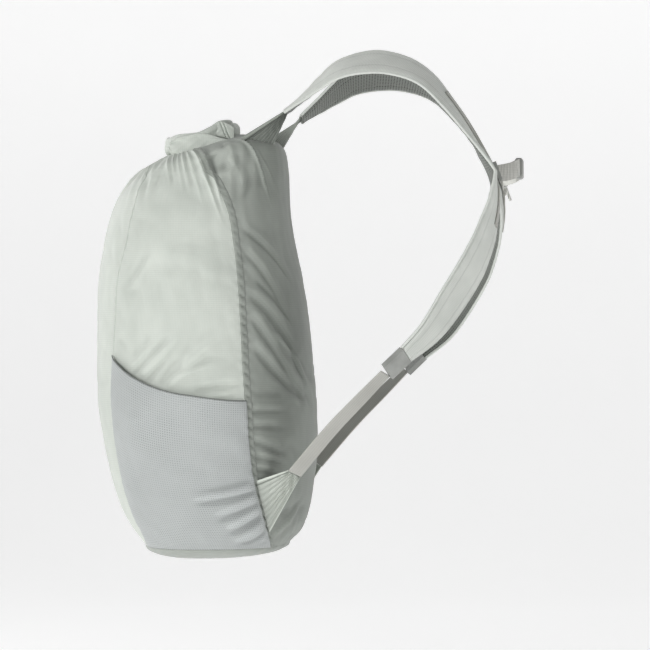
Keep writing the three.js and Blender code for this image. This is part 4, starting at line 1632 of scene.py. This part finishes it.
@dataclass
class Bag:
    """Panels, seams and base of the bag."""

    loom: Loom
    form: Form
    relief: Relief
    rows: int = 230
    rows_below_crown: float = 0.72
    side_columns: int = 130
    back_columns: int = 220
    seam_climb: float = 0.72
    front_seam_width: float = 0.0032
    front_seam_height: float = 0.5 * MM
    rear_seam_height: float = 0.9 * MM
    seam_wall: float = 0.4 * MM
    pucker: float = 0.35 * MM
    base_roundness: float = 2.1
    base_wrinkle: float = 0.8 * MM
    seam_allowance: float = 0.05

    def below(self) -> int:
        """Number of the rows below the crown."""
        return int(self.rows * self.rows_below_crown)

    def levels(self) -> Array:
        """Levels of the rows, from the base seam to the mouth.

        Returns:
            Array: the levels.
        """
        low = np.linspace(SEAM_LEVEL, CROWN_LEVEL, self.below(), endpoint=False)
        high = np.linspace(CROWN_LEVEL, 1, self.rows - len(low))
        return np.concatenate((low, high))

    def cloth(self, angle: Array, level: Array, lift: Number = 0.0) -> Array:
        """Points of the folded cloth.

        Args:
            angle: section angles.
            level: levels.
            lift: metres over the cloth.

        Returns:
            Array: the points.
        """
        return self.form.raised(angle, level, self.relief.at(angle, level) + lift)

    def panel(self, name: str, start: Array, end: Array, columns: int, slot: Slot) -> None:
        """Make one panel between two seams.

        Args:
            name: the panel's name and node.
            start: angle of the first seam at each level.
            end: angle of the last seam.
            columns: columns of its grid.
            slot: its material slot.
        """
        angle = blend(start, end, np.linspace(0, 1, columns)[None, :])
        level = np.broadcast_to(self.levels()[:, None], angle.shape)
        rise = self.relief.at(angle, level)
        grid = self.form.raised(angle, level, rise)
        turn = np.minimum(angle % 360, 360 - angle % 360)
        # Painted shade darkens the rim under the rear end of the roll, and the folds get painted
        # shade in their hollows and painted highlight on their ridges.
        shade = ramp(level, 0.984, 0.993) * ramp(turn, 100, 106) * (1 - ramp(turn, 126, 140))
        patch = Patch(grid, fold=np.maximum(hollows(rise), 1.6 * shade - 1))
        piece = self.loom.piece(f"{name}_cloth", [patch], slot, [name])

    def seam(self, name: str, side: Side, width: float, lift: float, slot: Slot) -> None:
        """Make one felled seam with its puckers.

        Args:
            name: the seam's node without its side, which is also its column of the sections.
            side: side of the wearer.
            width: width of the tape in metres.
            lift: height of its middle over the cloth in metres.
            slot: its material slot.
        """
        level = self.levels()[:, None]
        level = level[level[:, 0] < CROWN_LEVEL + self.seam_climb * (1 - CROWN_LEVEL)]
        middle = SECTIONS.at(name, level)
        spread = np.linalg.norm(
            self.form.smooth(middle + 0.5, level) - self.form.smooth(middle - 0.5, level), axis=-1
        )
        share = np.linspace(-1, 1, 9)[None, :]
        angle = middle + share * width / 2 / np.maximum(spread, 0.2 * MM)
        level = np.broadcast_to(level, angle.shape)
        run = level * BAG_HEIGHT
        calm = 1 - 0.75 * ramp(level, 0.6, 0.8)
        turn = run * 2 * np.pi / PUCKER_LENGTH + share * 1.5 + 1.2 * np.sin(run * 60)
        wave = self.pucker * np.sin(turn) * calm
        height = lift * (1 - np.abs(share) ** 4) + wave * (1 - share**2)
        grid = self.cloth(angle, level, height)
        # Painted shade in the puckers' hollows, and darker along both edges of the tape.
        dark = np.clip(-wave / self.pucker, -0.2, 1) * (1 - share**2) + 0.35 * (np.abs(share) > 0.9)
        patch = Patch(mirror(grid, side), flip=side is Side.LEFT, fold=dark * np.ones_like(level))
        node = name + side.tail
        self.loom.piece(node + "_felled", [patch], slot, [node], self.seam_wall)

    def base(self) -> None:
        """Make the base under its seam."""
        angle = np.linspace(0, 360, 240, endpoint=False)[None, :]
        climb = np.linspace(0, 1, 34)[:, None] * math.pi / 2
        edge = self.form.smooth(angle, np.full_like(angle, SEAM_LEVEL))
        inward = (np.cos(climb) ** (2 / self.base_roundness))[..., None]
        sink = np.sin(climb) ** (2 / self.base_roundness)
        centre = np.array([-AXIS_BACK, 0, 0])
        flat = (edge - centre) * inward + centre
        wave = np.sin(np.radians(angle) * 23) * np.exp(-(climb / 0.4)) * (climb > 0)
        wrinkle = self.base_wrinkle * wave
        height = edge[..., 2] + (-BASE_DROP - edge[..., 2]) * sink + wrinkle
        grid = np.stack((flat[..., 0], flat[..., 1], height), -1)
        patch = Patch(grid, wrap=True, flip=True)
        # The base takes the shaded cloth, painted darker as shade.
        self.loom.piece("base_cloth", [patch], Slot.SHADED, ["base_panel"])

    def build(self) -> None:
        """Make all of the bag's pieces."""
        level = self.levels()[:, None]
        front, rear = SECTIONS.at("front_seam", level), SECTIONS.at("rear_seam", level)
        columns = self.side_columns
        self.panel("front_panel", -front, front, columns, Slot.CLOTH)
        self.panel("side_panel_right", front, rear, columns, Slot.CLOTH)
        self.panel("side_panel_left", 360 - rear, 360 - front, columns, Slot.CLOTH)
        # The back panel takes the shaded cloth, painted darker as shade.
        self.panel("back_panel", rear, 360 - rear, self.back_columns, Slot.SHADED)
        self.base()
        for side in Side:
            self.seam("front_seam", side, self.front_seam_width, self.front_seam_height, Slot.CLOTH)
            self.seam("rear_seam", side, TAPE_WIDTH, self.rear_seam_height, Slot.TAPE)


def hollows(rise: Array, reach: int = 5, deep: float = 0.7 * MM) -> Array:
    """Depth of each place under the cloth around it.

    Args:
        rise: height of the cloth over a grid.
        reach: cells to each side that count as around.
        deep: depth of a full fold in metres.

    Returns:
        Array: about -1 on a ridge and 1 in a fold.
    """
    return np.clip((around(rise, reach) - rise) / deep, -1, 1)


@dataclass(frozen=True)
class Turned:
    """Flat fold of the roll that is turned over at its end, on the right side."""

    edges: Table
    start: float
    end: float
    beside: float
    size: float = 1.0
    creases: tuple[float, ...] = ()
    left_sink: float = 0.0
    thick: float = 0.0062
    back: float = 0.003
    hang: float = 0.003
    lean: float = 0.0035
    crease_depth: float = 0.0012
    crease_slant: float = 0.127


@dataclass
class Collar:
    """Roll of the collar with its tuck and clasp."""

    loom: Loom
    form: Form
    turned: tuple[Turned, ...] = (
        Turned(LEAF, -0.183, -0.1315, 0.0565),
        Turned(LOBE, -0.1537, -0.1263, 0.047, 0.55, (0.635, 0.76), 4.5 * MM),
    )
    roundness: float = 0.99
    lip_depth: float = 0.13
    crease_depth: float = 0.16
    kink_depth: float = 0.06
    arm_depth: float = 0.36
    arm_shift: float = 3 * MM
    tuck_wall: float = 0.8 * MM
    tuck_gap: float = 0.4 * MM
    tuck_turn: float = -8.0
    tuck_sag: float = 2.4 * MM
    tuck_pleat: float = 0.5 * MM

    def roll(self) -> None:
        """Make the roll with its creases."""
        share = np.linspace(0, 1, 260)[:, None]
        turn = np.linspace(0, 2 * math.pi, 48, endpoint=False)[None, :]
        high, wide = self.form.half(share)
        mirrored = np.minimum(share, 1 - share)
        s, c = np.sin(turn), np.cos(turn)
        # A groove along the outer side, a winding crease on top and a kink near each front bend.
        kink = np.exp(-(((mirrored - 0.3) / 0.02) ** 2))
        folds = 0.05 * np.sin(turn * 3 + share * 19) + 0.035 * np.sin(turn * 5 - share * 43 + 1)
        edge = -self.lip_depth * np.exp(-(((turn - 1.2 - 0.9 * np.sin(mirrored * 9)) / 0.13) ** 2))
        crease = np.exp(-(((turn - 5.6 - 1.1 * np.sin(mirrored * 23)) / 0.09) ** 2))
        # The arms are slimmer, and full only below, where the turned folds lie beside them.
        arm = ramp(mirrored, 0.03, 0.09) * (1 - ramp(mirrored, 0.26, 0.36))
        size = self.roundness + 0.6 * folds + edge
        size = size - self.crease_depth * crease - self.kink_depth * kink - self.arm_depth * arm
        tall = size + self.arm_depth * arm * (c < 0)
        end = np.minimum(1, mirrored / 0.02) ** 0.5 * 0.25 + 0.75
        out = self.form.outward(share)
        centre = self.form.roll.place(share) - np.array([self.arm_shift, 0, 0]) * arm[..., None]
        up = np.array([0.0, 0.0, 1.0])
        grid = (
            centre
            + out * (spow(s, 0.7) * wide * size * end)[..., None]
            + up * (spow(c, 0.75) * high * tall * end)[..., None]
        )
        # Painted shade in the groove and the crease; painted highlight on the kink and on the crests
        # of the folds.
        dark = np.clip(-5 * edge + 0.9 * crease - 0.5 * kink - 8 * np.maximum(folds, 0), -1, 1)
        patches = [Patch(grid, wrap=True, cap=True, fold=dark)]
        patches += [self.leaf(side, turned) for side in Side for turned in self.turned]
        self.loom.piece("collar_roll", patches, Slot.CLOTH, ["rolled_collar"])

    def leaf(self, side: Side, turned: Turned) -> Patch:
        """Flat turned fold of the roll on one side.

        Args:
            side: side of the wearer.
            turned: its sizes.

        Returns:
            Patch: its closed surface.
        """
        share = np.linspace(0.004, 1, 130)[:, None]
        turn = np.linspace(0, 2 * math.pi, 60, endpoint=False)[None, :]
        upper, lower = turned.edges.at("upper", share) * MM, turned.edges.at("lower", share) * MM
        s, c = np.sin(turn), np.cos(turn)
        # The outer side swells, is crimped along its length and has a thicker upper rim.
        crimp = 0.06 * np.sin(c * 5 + share * 16) + 0.05 * np.sin(c * 9 - share * 31 + 1)
        rim = 0.5 * np.exp(-(((c - 0.86) / 0.13) ** 2)) * (1 - share) ** 0.5
        body = np.sin(np.pi * np.clip(share, 0, 1) ** 0.45) ** 0.5
        swell = spow(np.maximum(s, 0), 0.7) * (0.8 + crimp) + rim * (s > 0)
        slant = turned.crease_slant * c
        lines = sum(np.exp(-(((share - m + slant) / 0.022) ** 2)) for m in turned.creases)
        edges = sum(np.exp(-(((share - m - 0.045 + slant) / 0.02) ** 2)) for m in turned.creases)
        out = turned.thick * swell * body + turned.back * np.minimum(s, 0)
        out = turned.size * out - turned.crease_depth * lines * (s > 0)
        hang = turned.hang * turned.size**3 * np.sin(np.pi * np.clip(share * 1.1, 0, 1))
        lower = lower - hang
        z = (upper + lower) / 2 + (upper - lower) / 2 * spow(c, 0.9)
        y = -turned.beside - out - turned.lean * turned.size * (1 - c) * (1 - 0.6 * share)
        z = z - (turned.left_sink if side is Side.LEFT else 0.0)
        grid = np.stack(np.broadcast_arrays(blend(turned.start, turned.end, share), y, z), -1)
        # Painted shade darkens its edges and creases, and stripes of painted shade and highlight
        # cross it near its first end; painted highlight lightens its rim, the crests of its crimp and
        # the cloth beside a crease.
        dark = 1.5 * np.exp(-(((c - 1) / 0.06) ** 2)) * (1 - ramp(share, 0.4, 0.85))
        dark = dark + 0.8 * np.sin(c * 13 + share * 60) * np.exp(-((share / 0.07) ** 2)) - 3 * crimp
        dark = dark + 0.9 * np.exp(-(((c + 1) / 0.03) ** 2)) - 0.5 * rim + 1.4 * lines - edges
        fold = np.clip(dark, -0.8, 1) * np.ones_like(z)
        return Patch(mirror(grid, side), True, True, side is Side.RIGHT, fold=fold)

    def tuck(self) -> None:
        """Make the front of the collar, drawn in under the roll."""
        steps, columns = 120, 30
        share = (0.02 + 0.96 * np.linspace(0, 1, steps))[:, None]
        gap = np.full_like(share, self.tuck_gap)
        rim = self.form.beside(share, np.full_like(share, self.tuck_turn), gap)
        run = np.sin(np.pi * share)
        low = self.form.beside(np.zeros(1), np.zeros(1), np.zeros(1))[0, 2] - self.form.mouth_dip
        ahead = -self.form.roll_back - self.form.roll_reach * (1 - 0.7 * run) - MM
        spine = np.stack((ahead, np.zeros_like(run), low - 0.005 * run), -1)
        across = np.linspace(0, 1, columns)[None, :, None]
        grid = rim + (spine - rim) * across
        across = across[..., 0]
        sag = self.tuck_sag * np.sin(np.pi * across)
        pleat = self.tuck_pleat * np.sin(share * 60 + across * 3) * np.sin(np.pi * across)
        grid[..., 2] -= sag - pleat
        patch = Patch(grid)
        wall = self.tuck_wall
        # The tuck takes the shaded cloth, painted darker as shade.
        piece = self.loom.piece("collar_tuck_cloth", [patch], Slot.SHADED, ["collar_tuck"], wall)

    def build(self) -> None:
        """Make the collar's pieces."""
        self.roll()
        self.tuck()
        self.loom.wardrobe.dress(frame["nodes"]["collar_clasp"], Slot.PLASTIC)


@dataclass
class Pocket:
    """Stretch mesh pocket of one side, with its elastic edge."""

    loom: Loom
    bag: Bag
    side: Side
    front_height: float = 0.182
    rear_height: float = 0.143
    belly: float = 0.009
    tape_gap: float = 0.5 * MM
    base_gap: float = 0.4 * MM
    stand: float = 1.2 * MM
    wall: float = 0.9 * MM

    def top(self, share: Array) -> Array:
        """Level of the pocket's edge.

        Args:
            share: shares of the way from the front to the rear seam.

        Returns:
            Array: the levels.
        """
        rise = (self.front_height - self.rear_height) * (1 - share) ** 2
        return (self.rear_height + rise) / BAG_HEIGHT

    def lift(self, share: Array, climb: Array) -> Array:
        """Distance of the pocket from the bag.

        Args:
            share: shares from the front to the rear seam.
            climb: shares from the base to the edge.

        Returns:
            Array: metres.
        """
        across = np.clip(np.sin(np.pi * share), 0, 1) ** 0.7
        return 0.0009 + self.belly * across * np.minimum(1, climb * 3) * (1 - 0.3 * climb)

    def angle(self, share: Array, level: Array) -> Array:
        """Section angle between the seams.

        Args:
            share: shares from the front to the rear seam.
            level: levels.

        Returns:
            Array: the angles.
        """
        inset = TAPE_WIDTH / 2 + self.tape_gap
        start, end = SECTIONS.at("front_seam", level), SECTIONS.at("rear_seam", level)
        return blend(start + inset / PER_DEGREE * 0.7, end - inset / PER_DEGREE * 0.85, share)

    def folds(self, share: Array, climb: Array) -> Array:
        """Folds of the mesh towards the lower gusset.

        Args:
            share: shares from the front to the rear seam.
            climb: shares from the base to the edge.

        Returns:
            Array: metres.
        """
        rise = np.zeros(np.broadcast_shapes(share.shape, climb.shape))
        for a, b, to_a, to_b, height, width in POCKET_FOLDS.rows:
            run = np.array([to_a - a, to_b - b])
            size = np.hypot(*run)
            along = ((share - a) * run[0] + (climb - b) * run[1]) / size**2
            gap = ((climb - b) * run[0] - (share - a) * run[1]) / size / width
            fold = np.exp(-(gap**2)) - 0.5 * np.exp(-((gap + 1.6) ** 2))
            rise += height * MM * fold * ramp(along, 0, 0.6)
        return rise * (1 - ramp(share, 0.93, 1)) * ramp(climb, 0, 0.1)

    def build(self) -> None:
        """Make the pocket and its binding."""
        climb = np.linspace(0, 1, 110)[:, None]
        share = np.linspace(0, 1, 120)[None, :]
        low = SEAM_LEVEL + self.base_gap / BAG_HEIGHT
        level = blend(low, self.top(share), climb)
        angle = self.angle(share, level)
        folds = self.folds(share, climb)
        lift = self.lift(share, climb) + folds + self.stand
        grid = self.bag.cloth(angle, level, lift)
        name = "side_pocket" + self.side.tail
        # Painted shade in the hollows of the folds, painted highlight on their ridges.
        shade = hollows(folds * 1.4)
        patch = Patch(mirror(grid, self.side), flip=self.side is Side.LEFT, fold=shade)
        piece = self.loom.piece(name + "_knit", [patch], Slot.MESH, [name], self.wall)
        self.binding()

    def binding(self) -> None:
        """Make the elastic edge over the pocket."""
        share = np.linspace(0, 1, 140)[:, None]
        turn = np.linspace(0, 2 * math.pi, 14, endpoint=False)[None, :]
        height = self.top(share) + (0.5 + 0.5 * np.cos(turn)) * MM / BAG_HEIGHT
        lift = self.lift(share, np.ones_like(share)) + 1.0 * MM + 0.5 * MM * np.sin(turn)
        grid = self.bag.cloth(self.angle(share, height), height, lift)
        name = "pocket_binding" + self.side.tail
        patch = Patch(mirror(grid, self.side), True, True, self.side is Side.LEFT)
        piece = self.loom.piece(name + "_elastic", [patch], Slot.TAPE, [name])
        # Its dark finish also paints the thin shadow along the edge.
        self.loom.wardrobe.dress(piece, Slot.TAPE, Variant.EDGE)


@dataclass
class Gusset:
    """Pleated cloth between the bag and the end of a strap."""

    loom: Loom
    pleats: int
    depth: float
    foot: float = 0.3
    hem: float = 0.9 * MM
    hem_width: float = 0.035
    wall: float = 0.8 * MM

    def share(self) -> Array:
        """Shares of the width where the columns of its grid lie."""
        return np.linspace(0, 1, self.pleats * 12)

    def build(
        self, name: str, side: Side, base: Array, apex: Array, slot: Slot, variant: Variant
    ) -> None:
        """Make one gusset.

        Args:
            name: its node without the side.
            side: side of the wearer.
            base: points along the bag, one for each share.
            apex: points along the strap's end, in the same way.
            slot: its material slot.
            variant: its finish.
        """
        share = self.share()
        climb = np.linspace(0, 1, 40)[:, None]
        low, high = base[None], apex[None]
        grid = low + (high - low) * climb[..., None]
        normal = unit(np.cross(high[0, len(share) // 2] - low[0, 0], low[0, -1] - low[0, 0]))
        wave = np.sin(share * self.pleats * 2 * math.pi + 0.6 * np.sin(share * 9))[None]
        height = self.depth / 2 * wave * (1 - 0.5 * climb) * blend(self.foot, 1, climb)
        height = height + 0.3 * MM * np.sin(share * 71 + climb * 26) * climb
        # Both side edges are hemmed: smooth, raised and lighter by painted highlight. The pleats get
        # painted shade in their hollows and painted highlight on their crests, and a darker line runs
        # beside the first hem.
        first, last = share / self.hem_width, (1 - share) / self.hem_width
        hem = (np.exp(-(first**2)) + np.exp(-(last**2)))[None]
        dark = blend(-wave * blend(0.5, 1.0, climb), -2.0, hem)
        dark = dark + np.exp(-(((share - 0.075) / 0.02) ** 2))[None]
        grid = grid + normal * blend(height, self.hem, hem)[..., None]
        dark = dark * np.ones_like(grid[..., 0])
        patch = Patch(mirror(grid, side), flip=side is Side.LEFT, fold=dark)
        node = name + side.tail
        piece = self.loom.piece(node + "_pleated", [patch], slot, [node], self.wall)
        self.loom.wardrobe.dress(piece, slot, variant)


@dataclass
class Harness:
    """Shoulder straps, gussets, webbing and chest fittings."""

    loom: Loom
    bag: Bag
    reach: float = 0.104
    spread: float = 0.086
    drop: float = 0.260
    strap_width: float = 0.047
    strap_thick: float = 0.0046
    strap_swell: float = 1.22
    stitch_place: float = 0.56
    stitch_depth: float = 0.6 * MM
    piping_size: float = 0.0026
    webbing_width: float = 0.015
    webbing_wall: float = 0.0016
    lock_length: float = 0.022
    rail_width: float = 0.009
    rail_inset: float = 0.009
    rail_seat: float = 1.15
    rail_start: float = 9 / 24
    rail_end: float = 16 / 24
    wing_width: float = 0.015
    gap: float = 0.5 * MM

    def __post_init__(self) -> None:
        """Lay the lines of the strap and of the lower webbing."""
        self.strap = Path(self.points(STRAP), lean=STRAP["lean"])
        end = strap_strip(self.strap, np.array([1.0]))
        start = end.centre + end.tangent * (self.lock_length + 0.7 * MM + self.webbing_wall)
        lean = np.concatenate((STRAP["lean"][-1:], WEBBING["lean"]))
        self.webbing = Path(np.vstack((start, self.points(WEBBING))), lean=lean)

    def points(self, table: Table) -> Array:
        """Points of a strap table's rows on the right side.

        Args:
            table: rows in shares of the strap's reach, spread and drop.

        Returns:
            Array: the points in metres.
        """
        x, y, z = table["forward"] * self.reach, table["out"] * self.spread, table["down"] * self.drop
        return np.stack((x, -y, -z), -1)

    def half(self, share: Array) -> Array:
        """Half the width of the shoulder strap.

        Args:
            share: shares of its length.

        Returns:
            Array: metres.
        """
        return self.strap_width / 2 * STRAP_ENDS.at("width", share)

    def padding(self, side: Side) -> None:
        """Make the padded strap.

        Args:
            side: side of the wearer.
        """
        share = np.linspace(0, 1, 300)[:, None]
        turn = np.linspace(0, 2 * math.pi, 110, endpoint=False)[None, :]
        strip = strap_strip(self.strap, share[:, 0]).wide()
        half, thick = self.half(share), self.strap_thick / 2
        across = spow(np.cos(turn), 0.45)
        out = spow(np.sin(turn), 0.7)
        # Two stitched lines run along the strap, and its edges pucker a little.
        line = np.exp(-(((np.abs(across) - self.stitch_place) / 0.03) ** 2))
        groove = -self.stitch_depth * line
        ripple = 0.18 * MM * np.sin(share * 210 + across * 2)
        height = thick * out * self.strap_swell + (groove + ripple * np.abs(across)) * np.sign(out)
        grid = strip.point(across * half, height)
        under = np.broadcast_to(np.clip(0.5 - out * 4, 0, 1), height.shape)
        name = "shoulder_strap" + side.tail
        # The stitched lines get painted shade in their grooves, varying along their length.
        dark = np.broadcast_to(line * (0.75 + 0.25 * np.sin(share * 900)), height.shape)
        patch = Patch(mirror(grid, side), True, True, side is Side.RIGHT, under, dark)
        piece = self.loom.piece(name + "_padding", [patch], Slot.PADDING, [name])

    def piping(self, side: Side, edge: int, name: str) -> None:
        """Make the bound edge of the strap.

        Args:
            side: side of the wearer.
            edge: 1 for the outer edge, -1 for the inner one.
            name: its node without the side.
        """
        share = np.linspace(0, 1, 300)[:, None]
        turn = np.linspace(0, 2 * math.pi, 14, endpoint=False)[None, :]
        strip = strap_strip(self.strap, share[:, 0]).wide()
        core = edge * (self.half(share) + 0.2 * MM + self.piping_size / 2)
        radius = self.piping_size / 2 * (1 + 0.05 * np.sin(share * 500))
        grid = strip.point(core + np.cos(turn) * radius, np.sin(turn) * radius * 0.95)
        patch = Patch(mirror(grid, side), True, True, side is Side.RIGHT)
        node = name + side.tail
        piece = self.loom.piece(node + "_cord", [patch], Slot.TAPE, [node])
        self.loom.wardrobe.dress(piece, Slot.TAPE, Variant.PIPING)

    def band(
        self, name: str, side: Side, strip: Strip, width: float, low: float, offset: float
    ) -> None:
        """Make a flat woven band with rounded edges.

        Args:
            name: its node without the side.
            side: side of the wearer.
            strip: the places along it.
            width: its width.
            low: height of its underside over the strip.
            offset: place across the strip.
        """
        thick = self.webbing_wall
        turn = np.linspace(0, 2 * math.pi, 28, endpoint=False)[None, :]
        across = offset + spow(np.cos(turn), 0.35) * width / 2
        out = low + thick / 2 + spow(np.sin(turn), 0.6) * thick / 2
        grid = strip.wide().point(across, out)
        patch = Patch(mirror(grid, side), True, True, side is Side.RIGHT)
        node = name + side.tail
        self.loom.piece(node + "_woven", [patch], Slot.WEBBING, [node])

    def gussets(self, side: Side) -> None:
        """Make the upper and the lower gusset.

        Args:
            side: side of the wearer.
        """
        wing = Gusset(self.loom, 8, 3.0 * MM)
        share = wing.share()
        top = strap_strip(self.strap, np.array([0.0])).moved(-self.gap)
        level = blend(CROWN_LEVEL, 1, blend(0.55, 0.35, share))
        base = self.bag.cloth(blend(125, 156, share), level, 1.0 * MM)
        apex = top.point(self.wing_width * (0.5 - share), 0 * share)
        # The wing's cloth is painted dark as shade.
        wing.build("strap_wing", side, base, apex, Slot.SHADED, Variant.WING)
        lower = Gusset(self.loom, 9, 1.6 * MM)
        share = lower.share()
        tip = strap_strip(self.webbing, np.array([1.0])).moved(self.gap)
        level = blend(0.2, 0.075, share)
        base = self.bag.cloth(SECTIONS.at("rear_seam", level), level, 1.6 * MM)
        apex = tip.point(self.webbing_width * (0.5 - share), 0 * share)
        lower.build("lower_gusset", side, base, apex, Slot.CLOTH, Variant.GUSSET)

    def build(self) -> None:
        """Make the straps of both sides and the chest fittings."""
        for side in Side:
            self.padding(side)
            self.piping(side, 1, "outer_piping")
            self.piping(side, -1, "inner_piping")
            self.gussets(side)
            strip = strap_strip(self.webbing, np.linspace(0, 1, 90))
            low = -self.webbing_wall / 2
            self.band("lower_webbing", side, strip, self.webbing_width, low, 0)
            rail = strap_strip(self.strap, np.linspace(self.rail_start, self.rail_end, 90))
            low = self.strap_thick / 2 * self.rail_seat + 0.1 * MM
            self.band("rail_tape", side, rail, self.rail_width, low, -self.rail_inset)
            for node in ("ladder_lock", "sternum_slider"):
                self.loom.wardrobe.dress(frame["nodes"][node + side.tail], Slot.PLASTIC)
            for node in ("sternum_tab", "sternum_webbing"):
                kept = frame["nodes"][node + side.tail]
                self.loom.wardrobe.dress(kept, Slot.WEBBING, Variant.CHEST)
        for node in ("buckle_socket", "buckle_plug"):
            self.loom.wardrobe.dress(frame["nodes"][node], Slot.PLASTIC)


@dataclass(frozen=True)
class Lamp:
    """Square soft lamp."""

    name: str
    place: tuple[float, float, float]
    size: float
    power: float

    def hang(self, aim: Vector) -> None:
        """Put the lamp into the scene.

        Args:
            aim: the place that it faces.
        """
        data = bpy.data.lights.new(self.name, "AREA")
        data.shape, data.size, data.energy = "SQUARE", self.size, self.power
        lamp = bpy.data.objects.new(self.name, data)
        lamp.location = self.place
        lamp.rotation_mode = "QUATERNION"
        lamp.rotation_quaternion = (aim - Vector(self.place)).to_track_quat("-Z", "Y")
        bpy.context.scene.collection.objects.link(lamp)


@dataclass
class Studio:
    """Floor, light and camera."""

    azimuth: float = 5.0
    distance: float = 3.0
    lens: float = 184.6
    look: tuple[float, float, float] = (-0.0497, 0.0, -0.2349)
    floor: float = -0.75
    size: float = 6.0
    curve: float = 1.2
    curve_back: float = 3.0
    glow: float = 0.43
    ambient: float = 0.2
    aim: tuple[float, float, float] = (-0.12, 0.0, -0.24)
    lamps: tuple[Lamp, ...] = (
        Lamp("key", (-2.0, -2.8, 0.4), 1.3, 63),
        Lamp("fill", (2.9, -1.6, 0.3), 1.6, 26),
        Lamp("top", (-0.4, -0.1, 2.4), 1.8, 7),
        Lamp("rim", (-2.2, 1.6, 0.6), 1.4, 14),
    )

    def backdrop(self) -> None:
        """Make the pale floor, curved up behind."""
        across = np.linspace(-self.size, self.size, 3)
        turn = np.linspace(0, math.pi / 2, 20)
        radius, back = self.curve, self.curve_back
        y = np.concatenate(([-self.size], back + radius * np.sin(turn), [back + radius]))
        z = np.concatenate(([0.0], radius * (1 - np.cos(turn)), [self.size])) + self.floor
        points = [(x, yy, zz) for yy, zz in zip(y, z) for x in across]
        n = len(across)
        faces = [
            (i * n + j, i * n + j + 1, (i + 1) * n + j + 1, (i + 1) * n + j)
            for i in range(len(y) - 1)
            for j in range(n - 1)
        ]
        mesh = bpy.data.meshes.new("floor")
        mesh.from_pydata(points, [], faces)
        mesh.polygons.foreach_set("use_smooth", [True] * len(faces))
        floor = bpy.data.objects.new("floor", mesh)
        bpy.context.scene.collection.objects.link(floor)
        s = Shader("paper")
        s.set(Base_Color=s.noise(3).between(0, 1).mix((0.8, 0.8, 0.8), (0.82, 0.82, 0.82)))
        s.set(Roughness=0.9, Emission_Color=(1.0, 1.0, 1.0), Emission_Strength=self.glow)
        mesh.materials.append(s.material)

    def build(self) -> None:
        """Make the studio."""
        self.backdrop()
        for lamp in self.lamps:
            lamp.hang(Vector(self.aim))
        self.surroundings()
        self.camera()

    def surroundings(self) -> None:
        """Make the even light from all around."""
        world = bpy.data.worlds.new("studio")
        world.use_nodes = True
        background = world.node_tree.nodes["Background"]
        background.inputs["Color"].default_value = (1, 1, 1, 1)
        background.inputs["Strength"].default_value = self.ambient
        bpy.context.scene.world = world
        bpy.context.scene.view_settings.view_transform = "Standard"

    def camera(self) -> None:
        """Set up the camera at the photograph's angle."""
        turn = math.radians(self.azimuth)
        ahead = Vector((-math.sin(turn), math.cos(turn), 0))
        data = bpy.data.cameras.new("camera")
        data.sensor_width, data.lens = 36.0, self.lens
        camera = bpy.data.objects.new("camera", data)
        camera.location = Vector(self.look) - ahead * self.distance
        camera.rotation_mode = "QUATERNION"
        camera.rotation_quaternion = ahead.to_track_quat("-Z", "Y")
        bpy.context.scene.collection.objects.link(camera)
        bpy.context.scene.camera = camera


def corners(box: Iterable[Vector]) -> list[list[float]]:
    """Box as plain lists.

    Args:
        box: its lowest and highest corner.

    Returns:
        list: the two corners.
    """
    return [[float(x) for x in corner] for corner in box]


def main() -> None:
    """Build the backpack and its studio."""
    loom = Loom(Wardrobe())
    form = Form()
    relief = Relief(form)
    relief.settling.run(form, relief)
    bag = Bag(loom, form, relief)
    bag.build()
    Collar(loom, form).build()
    for side in Side:
        Pocket(loom, bag, side).build()
    Harness(loom, bag).build()
    Studio().build()


if __name__ == "__main__":
    main()
